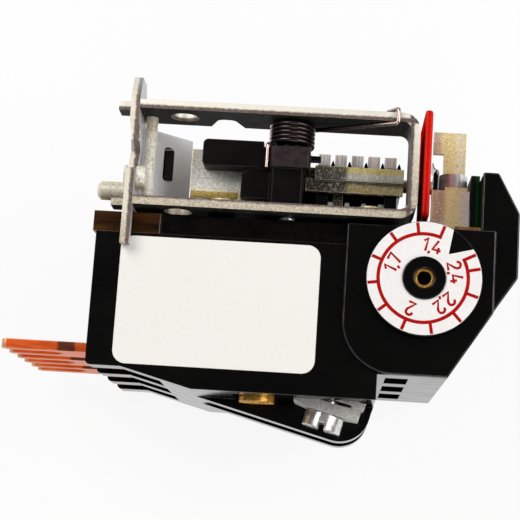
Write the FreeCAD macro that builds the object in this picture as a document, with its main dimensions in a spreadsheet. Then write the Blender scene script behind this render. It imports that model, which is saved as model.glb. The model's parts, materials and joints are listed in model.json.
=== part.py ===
import FreeCAD, Part
import PartDesign
import Sketcher
import os
import re

# Three-pole plug-on motor protection relay, lying on its far side wall (Z = 0).
# X runs from the forked prongs to the contact block, Y from the terminals to the bracket, Z is up.
# All lengths are millimetres, angles are degrees.

sizes = {
    # moulded housing: three chambers between four walls
    "housing_left": -29.1,
    "housing_length": 50.4,
    "joint_height": 2.6,
    "pole_pitch": 13.8,
    "wall_thickness": 4.8,
    "foot_depth": 23.6,
    "foot_flat": 6.2,
    "body_drop": 3.2,
    "terminal_slope": 14.5,
    "chamber_depth": 21.0,
    "left_wall": 3.0,
    "right_wall": 5.0,
    "recess_length": 12.6,
    "barrier_inset": 2.0,
    "barrier_radius": 5.5,
    # housing cover
    "cover_height": 3.6,
    "cover_lip": 0.6,
    "cover_roof": 1.4,
    "cover_rim": 2.0,
    # forked prongs
    "prong_thickness": 1.7,
    "prong_reach": 15.9,
    "prong_inside": 19.4,
    "fork_width": 4.6,
    "fork_length": 10.3,
    "tine_radius": 0.9,
    "side_gap": 0.1,
    # terminals
    "terminal_setback": 9.44,
    "terminal_inset": 3.7,
    "floor_thickness": 3.5,
    "strap_thickness": 1.0,
    "strap_overhang": 6.3,
    "strap_inset": 0.5,
    "wire_gap": 0.7,
    "clamp_thickness": 1.9,
    "clamp_left": 6.0,
    "clamp_right": 5.9,
    "clamp_inset": 0.6,
    "clamp_relief": 0.15,
    "screw_head_radius": 3.5,
    "screw_head_height": 2.8,
    "screw_radius": 1.95,
    "screw_length": 7.2,
    "brass_setback": 20.8,
    "brass_head_radius": 3.2,
    "brass_head_height": 2.2,
    "brass_radius": 1.7,
    "slot_width": 1.0,
    "slot_depth": 1.1,
    "hole_gap": 0.15,
    # bimetals and heaters
    "bimetal_thickness": 0.9,
    "bimetal_width": 6.0,
    "base_length": 8.4,
    "base_thickness": 1.2,
    "heater_gap": 0.3,
    "heater_wall": 0.8,
    "heater_height": 13.0,
    "heater_rib": 0.4,
    # trip slide
    "slide_gap": 0.2,
    "slide_thickness": 1.2,
    "slide_travel": 2.7,
    "slide_half": 4.2,
    # U-shaped bracket
    "bracket_gap": 1.0,
    "strip_thickness": 1.6,
    "window_height": 15.8,
    "bracket_depth": 7.5,
    "bracket_overhang": 2.5,
    "bracket_past": 5.4,
    "bend_radius": 1.6,
    "tab_reach": 2.4,
    "tab_width": 4.0,
    "access_radius": 2.5,
    "access_place": 7.6,
    "notch_place": 11.7,
    "notch_length": 6.8,
    "notch_depth": 4.8,
    "notch_slant": 2.0,
    "notch_radius": 1.5,
    "bracket_screw_radius": 1.25,
    "bracket_head_radius": 2.3,
    "bracket_head_height": 1.6,
    # hook plate
    "plate_place": 4.6,
    "plate_thickness": 1.6,
    "plate_top": 4.51,
    "finger_drop": 6.0,
    "wing_clearance": 0.9,
    "wing_length": 8.0,
    "wing_slant": 45.0,
    "wing_slot_width": 1.7,
    "wing_slot_height": 6.6,
    "rib_gap": 0.6,
    "rib_height": 16.5,
    "rib_depth": 9.5,
    "pin_radius": 1.7,
    "pin_reach": 5.7,
    "rivet_radius": 1.1,
    "rivet_head_radius": 2.1,
    "post_pin_radius": 1.0,
    # lever and torsion spring
    "pivot_place": 27.0,
    "pivot_depth": 2.5,
    "pivot_radius": 1.5,
    "pivot_head": 0.7,
    "running_gap": 0.08,
    "end_gap": 0.15,
    "hub_radius": 4.0,
    "hub_half": 3.55,
    "hub_round": 0.7,
    "post_left": 3.4,
    "post_right": 2.6,
    "post_half": 2.75,
    "post_height": 6.8,
    "arm_reach": 15.6,
    "arm_thickness": 4.0,
    "arm_rise": 1.0,
    "arm_round": 0.9,
    "finger_reach": 8.5,
    "finger_height": 4.6,
    "nub_reach": 5.4,
    "wire_radius": 0.375,
    "coil_radius": 3.75,
    "coil_pitch": 0.82,
    "ledge_depth": 7.0,
    # trip bar with its carrier and the red paddle
    "bar_height": 7.2,
    "bar_depth": 10.5,
    "bar_sheet": 1.2,
    "bar_flange": 8.7,
    "bar_web": 2.6,
    "bar_step": 2.0,
    "bar_setback": 0.8,
    "bar_behind": 1.6,
    "journal_radius": 1.2,
    "fin_margin": 1.05,
    "fin_share": 0.71,
    "fin_height": 16.6,
    "fin_depth": 10.5,
    "rail_drop": 2.3,
    "rail_height": 2.1,
    "rail_depth": 2.0,
    "paddle_gap": 0.8,
    "paddle_thickness": 1.35,
    "paddle_room": 0.8,
    "paddle_overhang": 2.0,
    "paddle_rise": 1.1,
    # mechanism housing with the dial
    "block_depth": 26.0,
    "block_wall": 2.0,
    "chamfer_length": 7.4,
    "chamfer_height": 11.6,
    "front_thickness": 1.2,
    "front_overlap": 6.5,
    "front_radius": 9.0,
    "dial_place": 7.1,
    "dial_drop": 9.4,
    "dial_radius": 10.0,
    "dial_thickness": 1.6,
    "dial_gap": 0.3,
    "hub_disc_radius": 3.75,
    "hub_disc_rise": 0.6,
    "scale_thickness": 0.3,
    "scale_notch": 5.9,
    "spindle_radius": 1.75,
    "spindle_bore": 1.2,
    "spindle_length": 28.0,
    "cam_offset": 1.0,
    "cam_wall_gap": 0.5,
    "cam_thickness": 3.0,
    "follower_thickness": 1.0,
    "follower_low": 6.0,
    "follower_high": 5.0,
    # contact block and auxiliary terminals
    "end_length": 4.3,
    "end_rise": 11.1,
    "end_step": 2.4,
    "end_margin": 4.0,
    "end_setback": 1.5,
    "terminal_sheet": 1.0,
    "insulator_room": 1.8,
    "insulator_rise": 0.7,
    "insulator_depth": 15.0,
    "aux_width": 6.85,
    "aux_height": 8.7,
    "aux_depth": 11.0,
    "aux_setback": 7.0,
    "aux_riser": 13.0,
    "aux_hook": 4.2,
    "aux_head_radius": 2.6,
    "aux_head_height": 2.8,
    "aux_screw_radius": 1.45,
    # rating label
    "label_gap": 4.3,
    "label_height": 22.5,
    "label_margin": 0.6,
    "label_thickness": 0.2,
    "label_radius": 2.3,
}

# Places that follow from the sizes.
derived = {
    "near": "3*pole_pitch + wall_thickness",
    "chamber": "pole_pitch - wall_thickness",
    "right": "housing_left + housing_length",
    "cover_top": "joint_height + cover_height",
    "foot_x": "housing_left + foot_flat",
    "foot_y": "joint_height - foot_depth",
    "body_y": "foot_y - body_drop",
    "slope_x": "foot_x + body_drop/tan(terminal_slope)",
    "floor_y": "joint_height - chamber_depth",
    "prong_top": "floor_y + prong_thickness",
    "prong_half": "chamber/2 - side_gap",
    "corner_x": "right - barrier_inset",
    "corner_y": "foot_y - (corner_x - foot_x)*tan(terminal_slope)",
    "terminal_along": "(right - foot_x - terminal_setback)/cos(terminal_slope)",
    "term_x": "foot_x + terminal_along*cos(terminal_slope) + terminal_inset*sin(terminal_slope)",
    "term_y": "foot_y - terminal_along*sin(terminal_slope) + terminal_inset*cos(terminal_slope)",
    "seat": "clamp_thickness + wire_gap + strap_thickness",
    "strap_y": "floor_y - floor_thickness",
    "strap_low": "strap_y - strap_thickness",
    "bend_x": "term_x + seat*sin(terminal_slope)"
              " + (term_y + seat*cos(terminal_slope) - strap_y)/tan(terminal_slope)",
    "bend_low": "term_x + (seat - strap_thickness)*sin(terminal_slope)"
                " + (term_y + (seat - strap_thickness)*cos(terminal_slope) - strap_low)"
                "/tan(terminal_slope)",
    "brass_x": "right - brass_setback",
    "strap_left": "brass_x - brass_head_radius - 0.4",
    "base_y": "floor_y + base_thickness",
    "slide_y": "joint_height + slide_gap",
    "leg_low": "cover_top + bracket_gap",
    "leg_top": "leg_low + strip_thickness",
    "upper_low": "leg_top + window_height",
    "upper_top": "upper_low + strip_thickness",
    "plate_left": "housing_left + plate_place",
    "leg_left": "plate_left + plate_thickness",
    "web_right": "right + bracket_past",
    "web_left": "web_right - strip_thickness",
    "far_edge": "near - bracket_depth",
    "near_edge": "near + bracket_overhang",
    "access_x": "leg_left + access_place",
    "pivot_x": "leg_left + pivot_place",
    "pivot_z": "near - pivot_depth",
    "screw_a": "pivot_x - 11.8",
    "screw_b": "web_left - 6.4",
    "screw_z": "far_edge + bracket_head_radius",
    "spring_room": "5*coil_pitch + 2*wire_radius + 2*end_gap",
    "hub_low": "leg_top + post_height",
    "hub_top": "upper_low - spring_room",
    "bar_y": "leg_top + bar_height",
    "bar_z": "near - bar_depth",
    "lug_face": "bar_z + journal_radius + 1",
    "web_face": "lug_face + 1.1 + bar_sheet",
    "bar_left": "pivot_x + hub_radius + 0.4",
    "bar_right": "web_left - 0.6",
    "fin_x": "bar_left + 0.35",
    "fin_pitch": "(bar_right - fin_margin - fin_x)/(4 + fin_share)",
    "fin_thickness": "fin_share*fin_pitch",
    "fin_last": "fin_x + 4*fin_pitch",
    "tab_x": "fin_x + fin_thickness + 0.9",
    "fin_near": "bar_z - bar_flange/2 - 1.2",
    "paddle_left": "web_right + paddle_gap",
    "paddle_right": "paddle_left + paddle_thickness",
    "aux_left": "paddle_right + paddle_room",
    "aux_right": "aux_left + aux_width",
    "end_x": "aux_right + insulator_room",
    "block_right": "end_x + end_step",
    "block_low": "cover_top - block_depth",
    "front": "near + front_thickness",
    "dial_x": "right + dial_place",
    "dial_y": "cover_top - dial_drop",
    "dial_z": "front + dial_gap",
    "disc_top": "dial_z + dial_thickness",
    "spindle_low": "disc_top - spindle_length",
    "cam_radius": "dial_place - block_wall - cam_offset - cam_wall_gap",
    "aux_near": "near - aux_setback",
    "aux_top": "cover_top + aux_height",
    "aux_foot": "aux_top + terminal_sheet",
    "aux_x": "aux_right - aux_head_radius - 0.1",
    "aux_z": "aux_near - terminal_sheet - aux_head_radius - 1.4",
    "label_left": "plate_left",
    "label_right": "right - front_overlap - label_gap",
    "label_top": "joint_height - label_margin",
}


def full(text):
    def swap(found):
        word = found.group(0)
        if word in derived:
            return "(" + full(derived[word]) + ")"
        if word in sizes:
            return "Sizes." + word
        return word

    return re.sub(r"[a-z][a-z_0-9]*", swap, text)


doc = FreeCAD.newDocument("MotorProtectionRelay")
sheet = doc.addObject("Spreadsheet::Sheet", "Sizes")
for row, (name, number) in enumerate(sizes.items(), start=1):
    sheet.set("A" + str(row), name)
    sheet.set("B" + str(row), str(number))
    sheet.setAlias("B" + str(row), name)
doc.recompute()

nodes = []


def value(text):
    return float(sheet.evalExpression(full(str(text))))


def node(thing, label):
    thing.Label = label
    nodes.append(thing)
    return thing


# Plain shapes; every bound is written in terms of the sizes.
def block(x, y, z):
    box = doc.addObject("Part::Box", "Block")
    for edge, side, (low, high) in zip(("Length", "Width", "Height"), "xyz", (x, y, z)):
        box.setExpression(edge, full("(" + high + ") - (" + low + ")"))
        box.setExpression("Placement.Base." + side, full(low))
    return box


turns = {
    "X": FreeCAD.Rotation(FreeCAD.Vector(0, 1, 0), 90),
    "Y": FreeCAD.Rotation(FreeCAD.Vector(1, 0, 0), -90),
    "Z": FreeCAD.Rotation(),
}
orders = {"X": "yzx", "Y": "xzy", "Z": "xyz"}


def rod(axis, first, second, low, high, radius, tip=None):
    kind = "Part::Cylinder" if tip is None else "Part::Cone"
    thing = doc.addObject(kind, "Rod")
    thing.Placement = FreeCAD.Placement(FreeCAD.Vector(), turns[axis])
    for side, where in zip(orders[axis], (first, second, low)):
        thing.setExpression("Placement.Base." + side, full(where))
    thing.setExpression("Height", full("(" + high + ") - (" + low + ")"))
    if tip is None:
        thing.setExpression("Radius", full(radius))
    else:
        thing.setExpression("Radius1", full(radius))
        thing.setExpression("Radius2", full(tip))
    return thing


def joined(*things):
    fuse = doc.addObject("Part::MultiFuse", "Joined")
    fuse.Shapes = list(things)
    fuse.Refine = True
    return fuse


def without(base, *tools):
    cut = doc.addObject("Part::Cut", "Cut")
    cut.Base = base
    cut.Tool = tools[0] if len(tools) == 1 else joined(*tools)
    cut.Refine = True
    return cut


def group(things):
    together = doc.addObject("Part::Compound", "Group")
    together.Links = list(things)
    return together


# Bodies: sketches on a plane across X, Y or Z, with pads, pockets and rounded edges.
planes = {"X": "YZ_Plane", "Y": "XZ_Plane", "Z": "XY_Plane"}


def new_body():
    return doc.addObject("PartDesign::Body", "Body")


def sketch(body, axis, level):
    drawing = body.newObject("Sketcher::SketchObject", "Sketch")
    plane = next(o for o in body.Origin.OriginFeatures if o.Role == planes[axis])
    drawing.AttachmentSupport = (plane, [""])
    drawing.MapMode = "FlatFace"
    sign = "-" if axis == "Y" else ""
    drawing.setExpression("AttachmentOffset.Base.z", full(sign + "(" + level + ")"))
    return drawing


def bound(drawing, kind, geometry, point, text):
    rule = Sketcher.Constraint(kind, -1, 1, geometry, point, value(text))
    index = drawing.addConstraint(rule)
    drawing.setExpression("Constraints[" + str(index) + "]", full(text))


def outline(body, axis, level, points):
    drawing = sketch(body, axis, level)
    spots = [FreeCAD.Vector(value(a), value(b), 0) for a, b in points]
    count = len(spots)
    for i in range(count):
        drawing.addGeometry(Part.LineSegment(spots[i], spots[(i + 1) % count]))
    for i in range(count):
        drawing.addConstraint(Sketcher.Constraint("Coincident", i, 2, (i + 1) % count, 1))
    for i, (a, b) in enumerate(points):
        bound(drawing, "DistanceX", i, 1, a)
        bound(drawing, "DistanceY", i, 1, b)
    return drawing


def ring(body, axis, level, centre, radius):
    drawing = sketch(body, axis, level)
    middle = FreeCAD.Vector(value(centre[0]), value(centre[1]), 0)
    drawing.addGeometry(Part.Circle(middle, FreeCAD.Vector(0, 0, 1), value(radius)))
    bound(drawing, "DistanceX", 0, 3, centre[0])
    bound(drawing, "DistanceY", 0, 3, centre[1])
    index = drawing.addConstraint(Sketcher.Constraint("Radius", 0, value(radius)))
    drawing.setExpression("Constraints[" + str(index) + "]", full(radius))
    return drawing


def raise_from(body, kind, profile, low, high):
    feature = body.newObject("PartDesign::" + kind, kind)
    feature.Profile = profile
    feature.setExpression("Length", full("(" + high + ") - (" + low + ")"))
    return feature


def pad(body, axis, points, low, high):
    start = high if axis == "Y" else low
    return raise_from(body, "Pad", outline(body, axis, start, points), low, high)


def round_pad(body, axis, centre, radius, low, high):
    start = high if axis == "Y" else low
    return raise_from(body, "Pad", ring(body, axis, start, centre, radius), low, high)


def pocket(body, axis, points, low, high):
    start = low if axis == "Y" else high
    return raise_from(body, "Pocket", outline(body, axis, start, points), low, high)


def bore(body, axis, centre, radius, low, high):
    start = low if axis == "Y" else high
    return raise_from(body, "Pocket", ring(body, axis, start, centre, radius), low, high)


def square(a, b):
    return [(a[0], b[0]), (a[1], b[0]), (a[1], b[1]), (a[0], b[1])]


def rounded(body, axis, corners, radius):
    doc.recompute()
    tip = body.Tip
    picks = {"X": (1, 2, 0), "Y": (0, 2, 1), "Z": (0, 1, 2)}[axis]
    wanted = [(value(a), value(b)) for a, b in corners]
    names = []
    for number, edge in enumerate(tip.Shape.Edges, start=1):
        ends = [v.Point for v in edge.Vertexes]
        if len(ends) != 2 or abs(ends[0][picks[2]] - ends[1][picks[2]]) < 0.05:
            continue
        for a, b in wanted:
            if all(abs(p[picks[0]] - a) + abs(p[picks[1]] - b) < 0.01 for p in ends):
                names.append("Edge" + str(number))
    fillet = body.newObject("PartDesign::Fillet", "Fillet")
    fillet.Base = (tip, names)
    fillet.setExpression("Radius", full(radius))
    return fillet


def pole(index):
    return "(wall_thickness + chamber/2 + " + str(index) + "*pole_pitch)"


# Terminal side: u runs along the slope, v into the housing.
def sloped(u, v):
    across = "term_x + (" + u + ")*cos(terminal_slope) + (" + v + ")*sin(terminal_slope)"
    along = "term_y - (" + u + ")*sin(terminal_slope) + (" + v + ")*cos(terminal_slope)"
    return across, along


def on_slope(body, index):
    turn = FreeCAD.Rotation(FreeCAD.Vector(0, 0, -1), value("terminal_slope"))
    body.Placement = FreeCAD.Placement(FreeCAD.Vector(), turn)
    body.setExpression("Placement.Rotation.Angle", full("terminal_slope"))
    for side, where in zip("xyz", ("term_x", "term_y", pole(index))):
        body.setExpression("Placement.Base." + side, full(where))
    return body


def slope_hole(index, radius, low, high):
    hole = new_body()
    round_pad(hole, "Y", ("0", "0"), radius, low, high)
    return on_slope(hole, index)


# Housing: outer profile, two longer barriers, chambers open to the cover, prong recesses
# open to the left and to the foot, and a seat for each terminal strap.
shell = new_body()
profile = [
    ("housing_left", "joint_height"),
    ("housing_left", "foot_y"),
    ("foot_x", "foot_y"),
    ("slope_x", "body_y"),
    ("right", "body_y"),
    ("right", "joint_height"),
]
pad(shell, "Z", profile, "0", "near")
barrier = [
    ("slope_x", "body_y + body_drop"),
    ("slope_x", "body_y"),
    ("corner_x", "corner_y"),
    ("right", "corner_y + barrier_inset/tan(terminal_slope)"),
    ("right", "body_y + body_drop"),
]
for number in (1, 2):
    low = str(number) + "*pole_pitch"
    pad(shell, "Z", barrier, low, low + " + wall_thickness")
rounded(shell, "Z", [("corner_x", "corner_y")], "barrier_radius")
rounded(shell, "Z", [("housing_left", "foot_y")], "tine_radius")
for number in range(3):
    low = pole(number) + " - chamber/2"
    high = pole(number) + " + chamber/2"
    room = square(
        ("housing_left + left_wall", "right - right_wall"),
        ("floor_y", "joint_height + 1"),
    )
    pocket(shell, "Z", room, low, high)
    recess = square(
        ("housing_left - 1", "housing_left + recess_length"),
        ("body_y - 1", "prong_top"),
    )
    pocket(shell, "Z", recess, low, high)
    end_u = "strap_overhang + strap_inset"
    seat_cut = [
        ("strap_left - strap_inset", "strap_y"),
        ("bend_x", "strap_y"),
        sloped(end_u, "seat"),
        (sloped(end_u, "seat")[0], "corner_y - 5"),
        ("strap_left - strap_inset", "corner_y - 5"),
    ]
    pocket(shell, "Z", seat_cut, low, high)
holes = []
for number in range(3):
    holes.append(slope_hole(number, "screw_radius + hole_gap", "0", "screw_length + 0.2"))
    holes.append(
        rod("Y", "brass_x", pole(number), "strap_y - 1", "floor_y + 1", "brass_radius + hole_gap")
    )
node(without(shell, *holes), "housing")

# Cover: a shallow lid over the chambers with two pads that carry the bracket.
lid = block(
    ("housing_left - cover_lip", "right"), ("joint_height", "cover_top"), ("0", "near")
)
hollow = block(
    ("housing_left + left_wall", "right - cover_rim"),
    ("joint_height - 1", "cover_top - cover_roof"),
    ("cover_rim", "near - cover_rim"),
)
tab_slot = block(
    ("tab_x - 0.5", "tab_x + 2.3"),
    ("joint_height", "cover_top + 1"),
    ("bar_z - bar_sheet/2 - 0.6", "bar_z + bar_sheet/2 + 2.4"),
)
pads = []
pilots = []
for spot in ("screw_a", "screw_b"):
    pads.append(
        block(
            (spot + " - 2.2", spot + " + 2.2"),
            ("cover_top", "leg_low"),
            ("far_edge", "far_edge + 2*bracket_head_radius"),
        )
    )
    pilots.append(
        rod("Y", spot, "screw_z", "joint_height", "leg_low + 1", "bracket_screw_radius + 0.05")
    )
# Rib behind the hook plate's slanted wing, parallel to it.
rib = new_body()
wedge = [
    ("plate_left + tan(wing_slant)", "far_edge - 1 - rib_gap"),
    ("plate_left + (wing_length - 1)*tan(wing_slant)", "far_edge - wing_length + 1 - rib_gap"),
    ("plate_left + (wing_length - 1)*tan(wing_slant)", "far_edge - rib_depth"),
    ("plate_left + tan(wing_slant)", "far_edge - rib_depth"),
]
pad(rib, "Y", wedge, "cover_top - cover_roof/2", "cover_top + rib_height")
node(without(joined(lid, rib, *pads), hollow, tab_slot, *pilots), "housing_cover")

# Forked prongs of the three poles.
for number in range(3):
    tongue = new_body()
    tip = "housing_left - prong_reach"
    side = square(
        (tip, "housing_left + prong_inside"),
        (pole(number) + " - prong_half", pole(number) + " + prong_half"),
    )
    pad(tongue, "Y", side, "floor_y", "prong_top")
    fork = square(
        (tip + " - 1", tip + " + fork_length - fork_width/2"),
        (pole(number) + " - fork_width/2", pole(number) + " + fork_width/2"),
    )
    pocket(tongue, "Y", fork, "floor_y - 1", "prong_top + 1")
    end = (tip + " + fork_length - fork_width/2", pole(number))
    bore(tongue, "Y", end, "fork_width/2", "floor_y - 1", "prong_top + 1")
    corners = []
    for offset in ("- prong_half", "- fork_width/2", "+ fork_width/2", "+ prong_half"):
        corners.append((tip, pole(number) + offset))
    rounded(tongue, "Y", corners, "tine_radius")
    node(tongue, "contact_prong_" + str(number + 1))

# Bimetal strips on the chamber floor, each inside a ribbed heater.
for number in range(3):
    middle = pole(number)
    foot = block(
        ("brass_x - base_length/2", "brass_x + base_length/2"),
        ("floor_y", "base_y"),
        (middle + " - chamber/2 + 0.8", middle + " + chamber/2 - 0.8"),
    )
    strip = block(
        ("brass_x - bimetal_width/2", "brass_x + bimetal_width/2"),
        ("base_y", "slide_y + slide_thickness + 0.2"),
        (middle + " + brass_radius + 0.3", middle + " + brass_radius + 0.3 + bimetal_thickness"),
    )
    thread = rod("Y", "brass_x", middle, "floor_y - 1", "base_y + 1", "brass_radius + 0.05")
    node(without(joined(foot, strip), thread), "bimetal_strip_" + str(number + 1))

    inner_x = ("brass_x - bimetal_width/2 - heater_gap", "brass_x + bimetal_width/2 + heater_gap")
    inner_z = (
        middle + " + brass_radius + 0.3 - heater_gap",
        middle + " + brass_radius + 0.3 + bimetal_thickness + heater_gap",
    )
    heater_low = "base_y + base_thickness"
    sleeve = block(
        (inner_x[0] + " - heater_wall", inner_x[1] + " + heater_wall"),
        (heater_low, heater_low + " + heater_height"),
        (inner_z[0] + " - heater_wall", inner_z[1] + " + heater_wall"),
    )
    ribs = []
    for step in range(6):
        level = heater_low + " + heater_height*" + str(1 + 2 * step) + "/13"
        ribs.append(
            block(
                (inner_x[0] + " - heater_wall - heater_rib", inner_x[1] + " + heater_wall + heater_rib"),
                (level, level + " + heater_height/13"),
                (inner_z[0] + " - heater_wall - heater_rib", inner_z[1] + " + heater_wall"),
            )
        )
    lead = block(
        ("housing_left + prong_inside - 3", inner_x[0] + " - heater_wall/2"),
        ("prong_top", "prong_top + heater_wall"),
        (inner_z[0] + " - heater_wall", inner_z[1] + " + heater_wall"),
    )
    riser = block(
        (inner_x[0] + " - heater_wall", inner_x[0]),
        ("prong_top", heater_low + " + heater_wall"),
        (inner_z[0] + " - heater_wall", inner_z[1] + " + heater_wall"),
    )
    way = block(inner_x, (heater_low + " - 1", heater_low + " + heater_height + 1"), inner_z)
    node(without(joined(sleeve, lead, riser, *ribs), way), "heater_winding_" + str(number + 1))

# Trip slide under the cover: a frame with a window for each bimetal tip and one for the bar.
plate = block(
    ("brass_x - slide_half", "tab_x + 3"),
    ("slide_y", "slide_y + slide_thickness"),
    (pole(0) + " - chamber/2", pole(2) + " + brass_radius + 0.3 + bimetal_thickness + 2"),
)
windows = []
for number in range(3):
    tip_z = pole(number) + " + brass_radius + 0.3"
    windows.append(
        block(
            ("brass_x - bimetal_width/2 - 0.3", "brass_x + bimetal_width/2 + 0.3"),
            ("slide_y - 1", "slide_y + slide_thickness + 1"),
            (tip_z + " - slide_travel - 0.3", tip_z + " + bimetal_thickness + 0.3"),
        )
    )
windows.append(
    block(
        ("tab_x - 0.4", "tab_x + 2.2"),
        ("slide_y - 1", "slide_y + slide_thickness + 1"),
        ("bar_z - bar_sheet/2 - 0.5", "bar_z + bar_sheet/2 + 0.5"),
    )
)
node(without(plate, *windows), "trip_slide")

# Load terminals: bent strap, wire clamp with a turned edge, slotted screws.
clamps = []
screws = []
brass = []
for number in range(3):
    middle = pole(number)
    strap = new_body()
    bent = [
        ("strap_left", "strap_y"),
        ("bend_x", "strap_y"),
        sloped("strap_overhang", "seat"),
        sloped("strap_overhang", "seat - strap_thickness"),
        ("bend_low", "strap_low"),
        ("strap_left", "strap_low"),
    ]
    low = middle + " - chamber/2 + strap_inset"
    high = middle + " + chamber/2 - strap_inset"
    pad(strap, "Z", bent, low, high)
    bore(strap, "Y", ("brass_x", middle), "brass_radius + hole_gap", "strap_low - 1", "strap_y + 1")
    hole = slope_hole(number, "screw_radius + 0.05", "0", "seat + 2")
    node(without(strap, hole), "load_terminal_" + str(number + 1))

    clamp = new_body()
    turned = [
        ("-clamp_left", "0"),
        ("clamp_right", "0"),
        ("clamp_right", "clamp_thickness + wire_gap"),
        ("clamp_right - clamp_thickness", "clamp_thickness + wire_gap"),
        ("clamp_right - clamp_thickness", "clamp_thickness"),
        ("-clamp_left", "clamp_thickness"),
    ]
    pad(clamp, "Z", turned, "-chamber/2 + clamp_inset", "chamber/2 - clamp_inset")
    bore(clamp, "Y", ("0", "0"), "screw_radius + hole_gap", "-1", "clamp_thickness + 1")
    # relief under the flat of the strap, left of its bend
    relief = block(
        ("strap_left - clamp_left", "bend_low"),
        ("strap_low - clamp_relief", "strap_y"),
        (middle + " - chamber/2", middle + " + chamber/2"),
    )
    clamps.append(without(on_slope(clamp, number), relief))

    screw = new_body()
    round_pad(screw, "Y", ("0", "0"), "screw_head_radius", "-screw_head_height", "0")
    round_pad(screw, "Y", ("0", "0"), "screw_radius", "0", "screw_length")
    groove = square(
        ("-slot_width/2", "slot_width/2"), ("-screw_head_radius - 1", "screw_head_radius + 1")
    )
    pocket(screw, "Y", groove, "-screw_head_height - 1", "-screw_head_height + slot_depth")
    screws.append(on_slope(screw, number))

    stud = joined(
        rod("Y", "brass_x", middle, "strap_low - brass_head_height", "strap_low", "brass_head_radius"),
        rod("Y", "brass_x", middle, "strap_low", "base_y + 0.8", "brass_radius"),
    )
    slit = block(
        ("brass_x - brass_head_radius - 1", "brass_x + brass_head_radius + 1"),
        ("strap_low - brass_head_height - 1", "strap_low - brass_head_height + slot_depth"),
        (middle + " - slot_width/2", middle + " + slot_width/2"),
    )
    brass.append(without(stud, slit))
node(group(clamps), "wire_clamps")
node(group(screws), "terminal_screws")
node(group(brass), "bimetal_screws")

# U-shaped bracket of bent strip, with end tabs, access holes and a notch in the upper leg.
frame = new_body()
bent = [
    ("leg_left", "leg_low"),
    ("web_right", "leg_low"),
    ("web_right", "upper_top"),
    ("leg_left", "upper_top"),
    ("leg_left", "upper_low"),
    ("web_left", "upper_low"),
    ("web_left", "leg_top"),
    ("leg_left", "leg_top"),
]
pad(frame, "Z", bent, "far_edge", "near_edge")
rounded(frame, "Z", [("web_left", "leg_top"), ("web_left", "upper_low")], "bend_radius")
outer = [("web_right", "leg_low"), ("web_right", "upper_top")]
rounded(frame, "Z", outer, "bend_radius + strip_thickness")
for low, high in (("leg_low", "leg_top"), ("upper_low", "upper_top")):
    tab = square(("plate_left - tab_reach", "leg_left + 1"), (low, high))
    pad(frame, "Z", tab, "near - tab_width + 0.5", "near + 0.5")
through = ("leg_low - 1", "upper_top + 1")
bore(frame, "Y", ("access_x", "pivot_z"), "access_radius", *through)
bore(frame, "Y", ("pivot_x", "pivot_z"), "pivot_radius + 0.05", *through)
for spot in ("screw_a", "screw_b"):
    centre = (spot, "screw_z")
    bore(frame, "Y", centre, "bracket_screw_radius + hole_gap", "leg_low - 1", "leg_top + 1")
notch_ends = ("leg_left + notch_place", "leg_left + notch_place + notch_length")
notch_top = [
    (notch_ends[1] + " - notch_slant", "far_edge + notch_depth"),
    (notch_ends[0] + " + notch_slant", "far_edge + notch_depth"),
]
notch = [(notch_ends[0], "far_edge - 1"), (notch_ends[1], "far_edge - 1"), *notch_top]
pocket(frame, "Y", notch, "upper_low - 1", "upper_top + 1")
rounded(frame, "Y", notch_top, "notch_radius")
node(frame, "bracket")

fixings = []
for spot in ("screw_a", "screw_b"):
    fixings.append(
        joined(
            rod("Y", spot, "screw_z", "leg_top", "leg_top + bracket_head_height", "bracket_head_radius"),
            rod("Y", spot, "screw_z", "cover_top - cover_roof", "leg_top", "bracket_screw_radius"),
        )
    )
node(group(fixings), "bracket_screws")

# Hook plate across the bracket's open end, with a slanted wing that stands on the cover.
hook = new_body()
side = [
    ("upper_top + plate_top", "near - tab_width"),
    ("upper_top + plate_top", "near + 0.5"),
    ("upper_top + 0.6", "near_edge"),
    ("leg_top + window_height*0.62", "near_edge"),
    ("leg_top + window_height*0.55", "near - 1"),
    ("leg_top + window_height*0.37", "near - 1"),
    ("leg_top + window_height*0.3", "near_edge"),
    ("cover_top - finger_drop", "near_edge"),
    ("cover_top - finger_drop", "near + 0.6"),
    ("cover_top + 0.4", "near + 0.6"),
    ("cover_top + 0.4", "far_edge"),
    ("upper_top + 0.6", "far_edge"),
]
pad(hook, "X", side, "plate_left", "leg_left")
wing_x = "wing_length*tan(wing_slant)"
wing = [
    ("plate_left", "far_edge + 0.5"),
    ("leg_left", "far_edge + 0.5"),
    ("leg_left", "far_edge"),
    ("leg_left + " + wing_x, "far_edge - wing_length"),
    ("plate_left + " + wing_x, "far_edge - wing_length"),
    ("plate_left", "far_edge"),
]
wing_top = "upper_low - wing_clearance"
pad(hook, "Y", wing, "cover_top", wing_top)
slot_z = "far_edge - wing_length*0.52"
slot_high = wing_top + " - 2.4 - wing_slot_width/2"
slot_low = slot_high + " - wing_slot_height + wing_slot_width"
span = ("plate_left", "leg_left + " + wing_x + " + 1")
sides = (slot_z + " - wing_slot_width/2", slot_z + " + wing_slot_width/2")
pocket(hook, "X", square((slot_low, slot_high), sides), *span)
bore(hook, "X", (slot_low, slot_z), "wing_slot_width/2", *span)
bore(hook, "X", (slot_high, slot_z), "wing_slot_width/2", *span)
for low, high in (("leg_low", "leg_top"), ("upper_low", "upper_top")):
    slot = square((low + " - 0.05", high + " + 0.05"), ("near - tab_width + 0.4", "near + 0.6"))
    pocket(hook, "X", slot, "plate_left - 1", "leg_left + 1")
pin_spot = ("leg_top + pin_radius + 0.5", "far_edge + pin_radius + 0.5")
bore(hook, "X", pin_spot, "pin_radius - 0.25", "plate_left - 1", "leg_left + 1")
rivet_spot = ("leg_top + window_height*0.24", "near - 0.4")
bore(hook, "X", rivet_spot, "rivet_radius + 0.05", "plate_left - 1", "leg_left + 1")
node(hook, "hook_plate")

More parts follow.
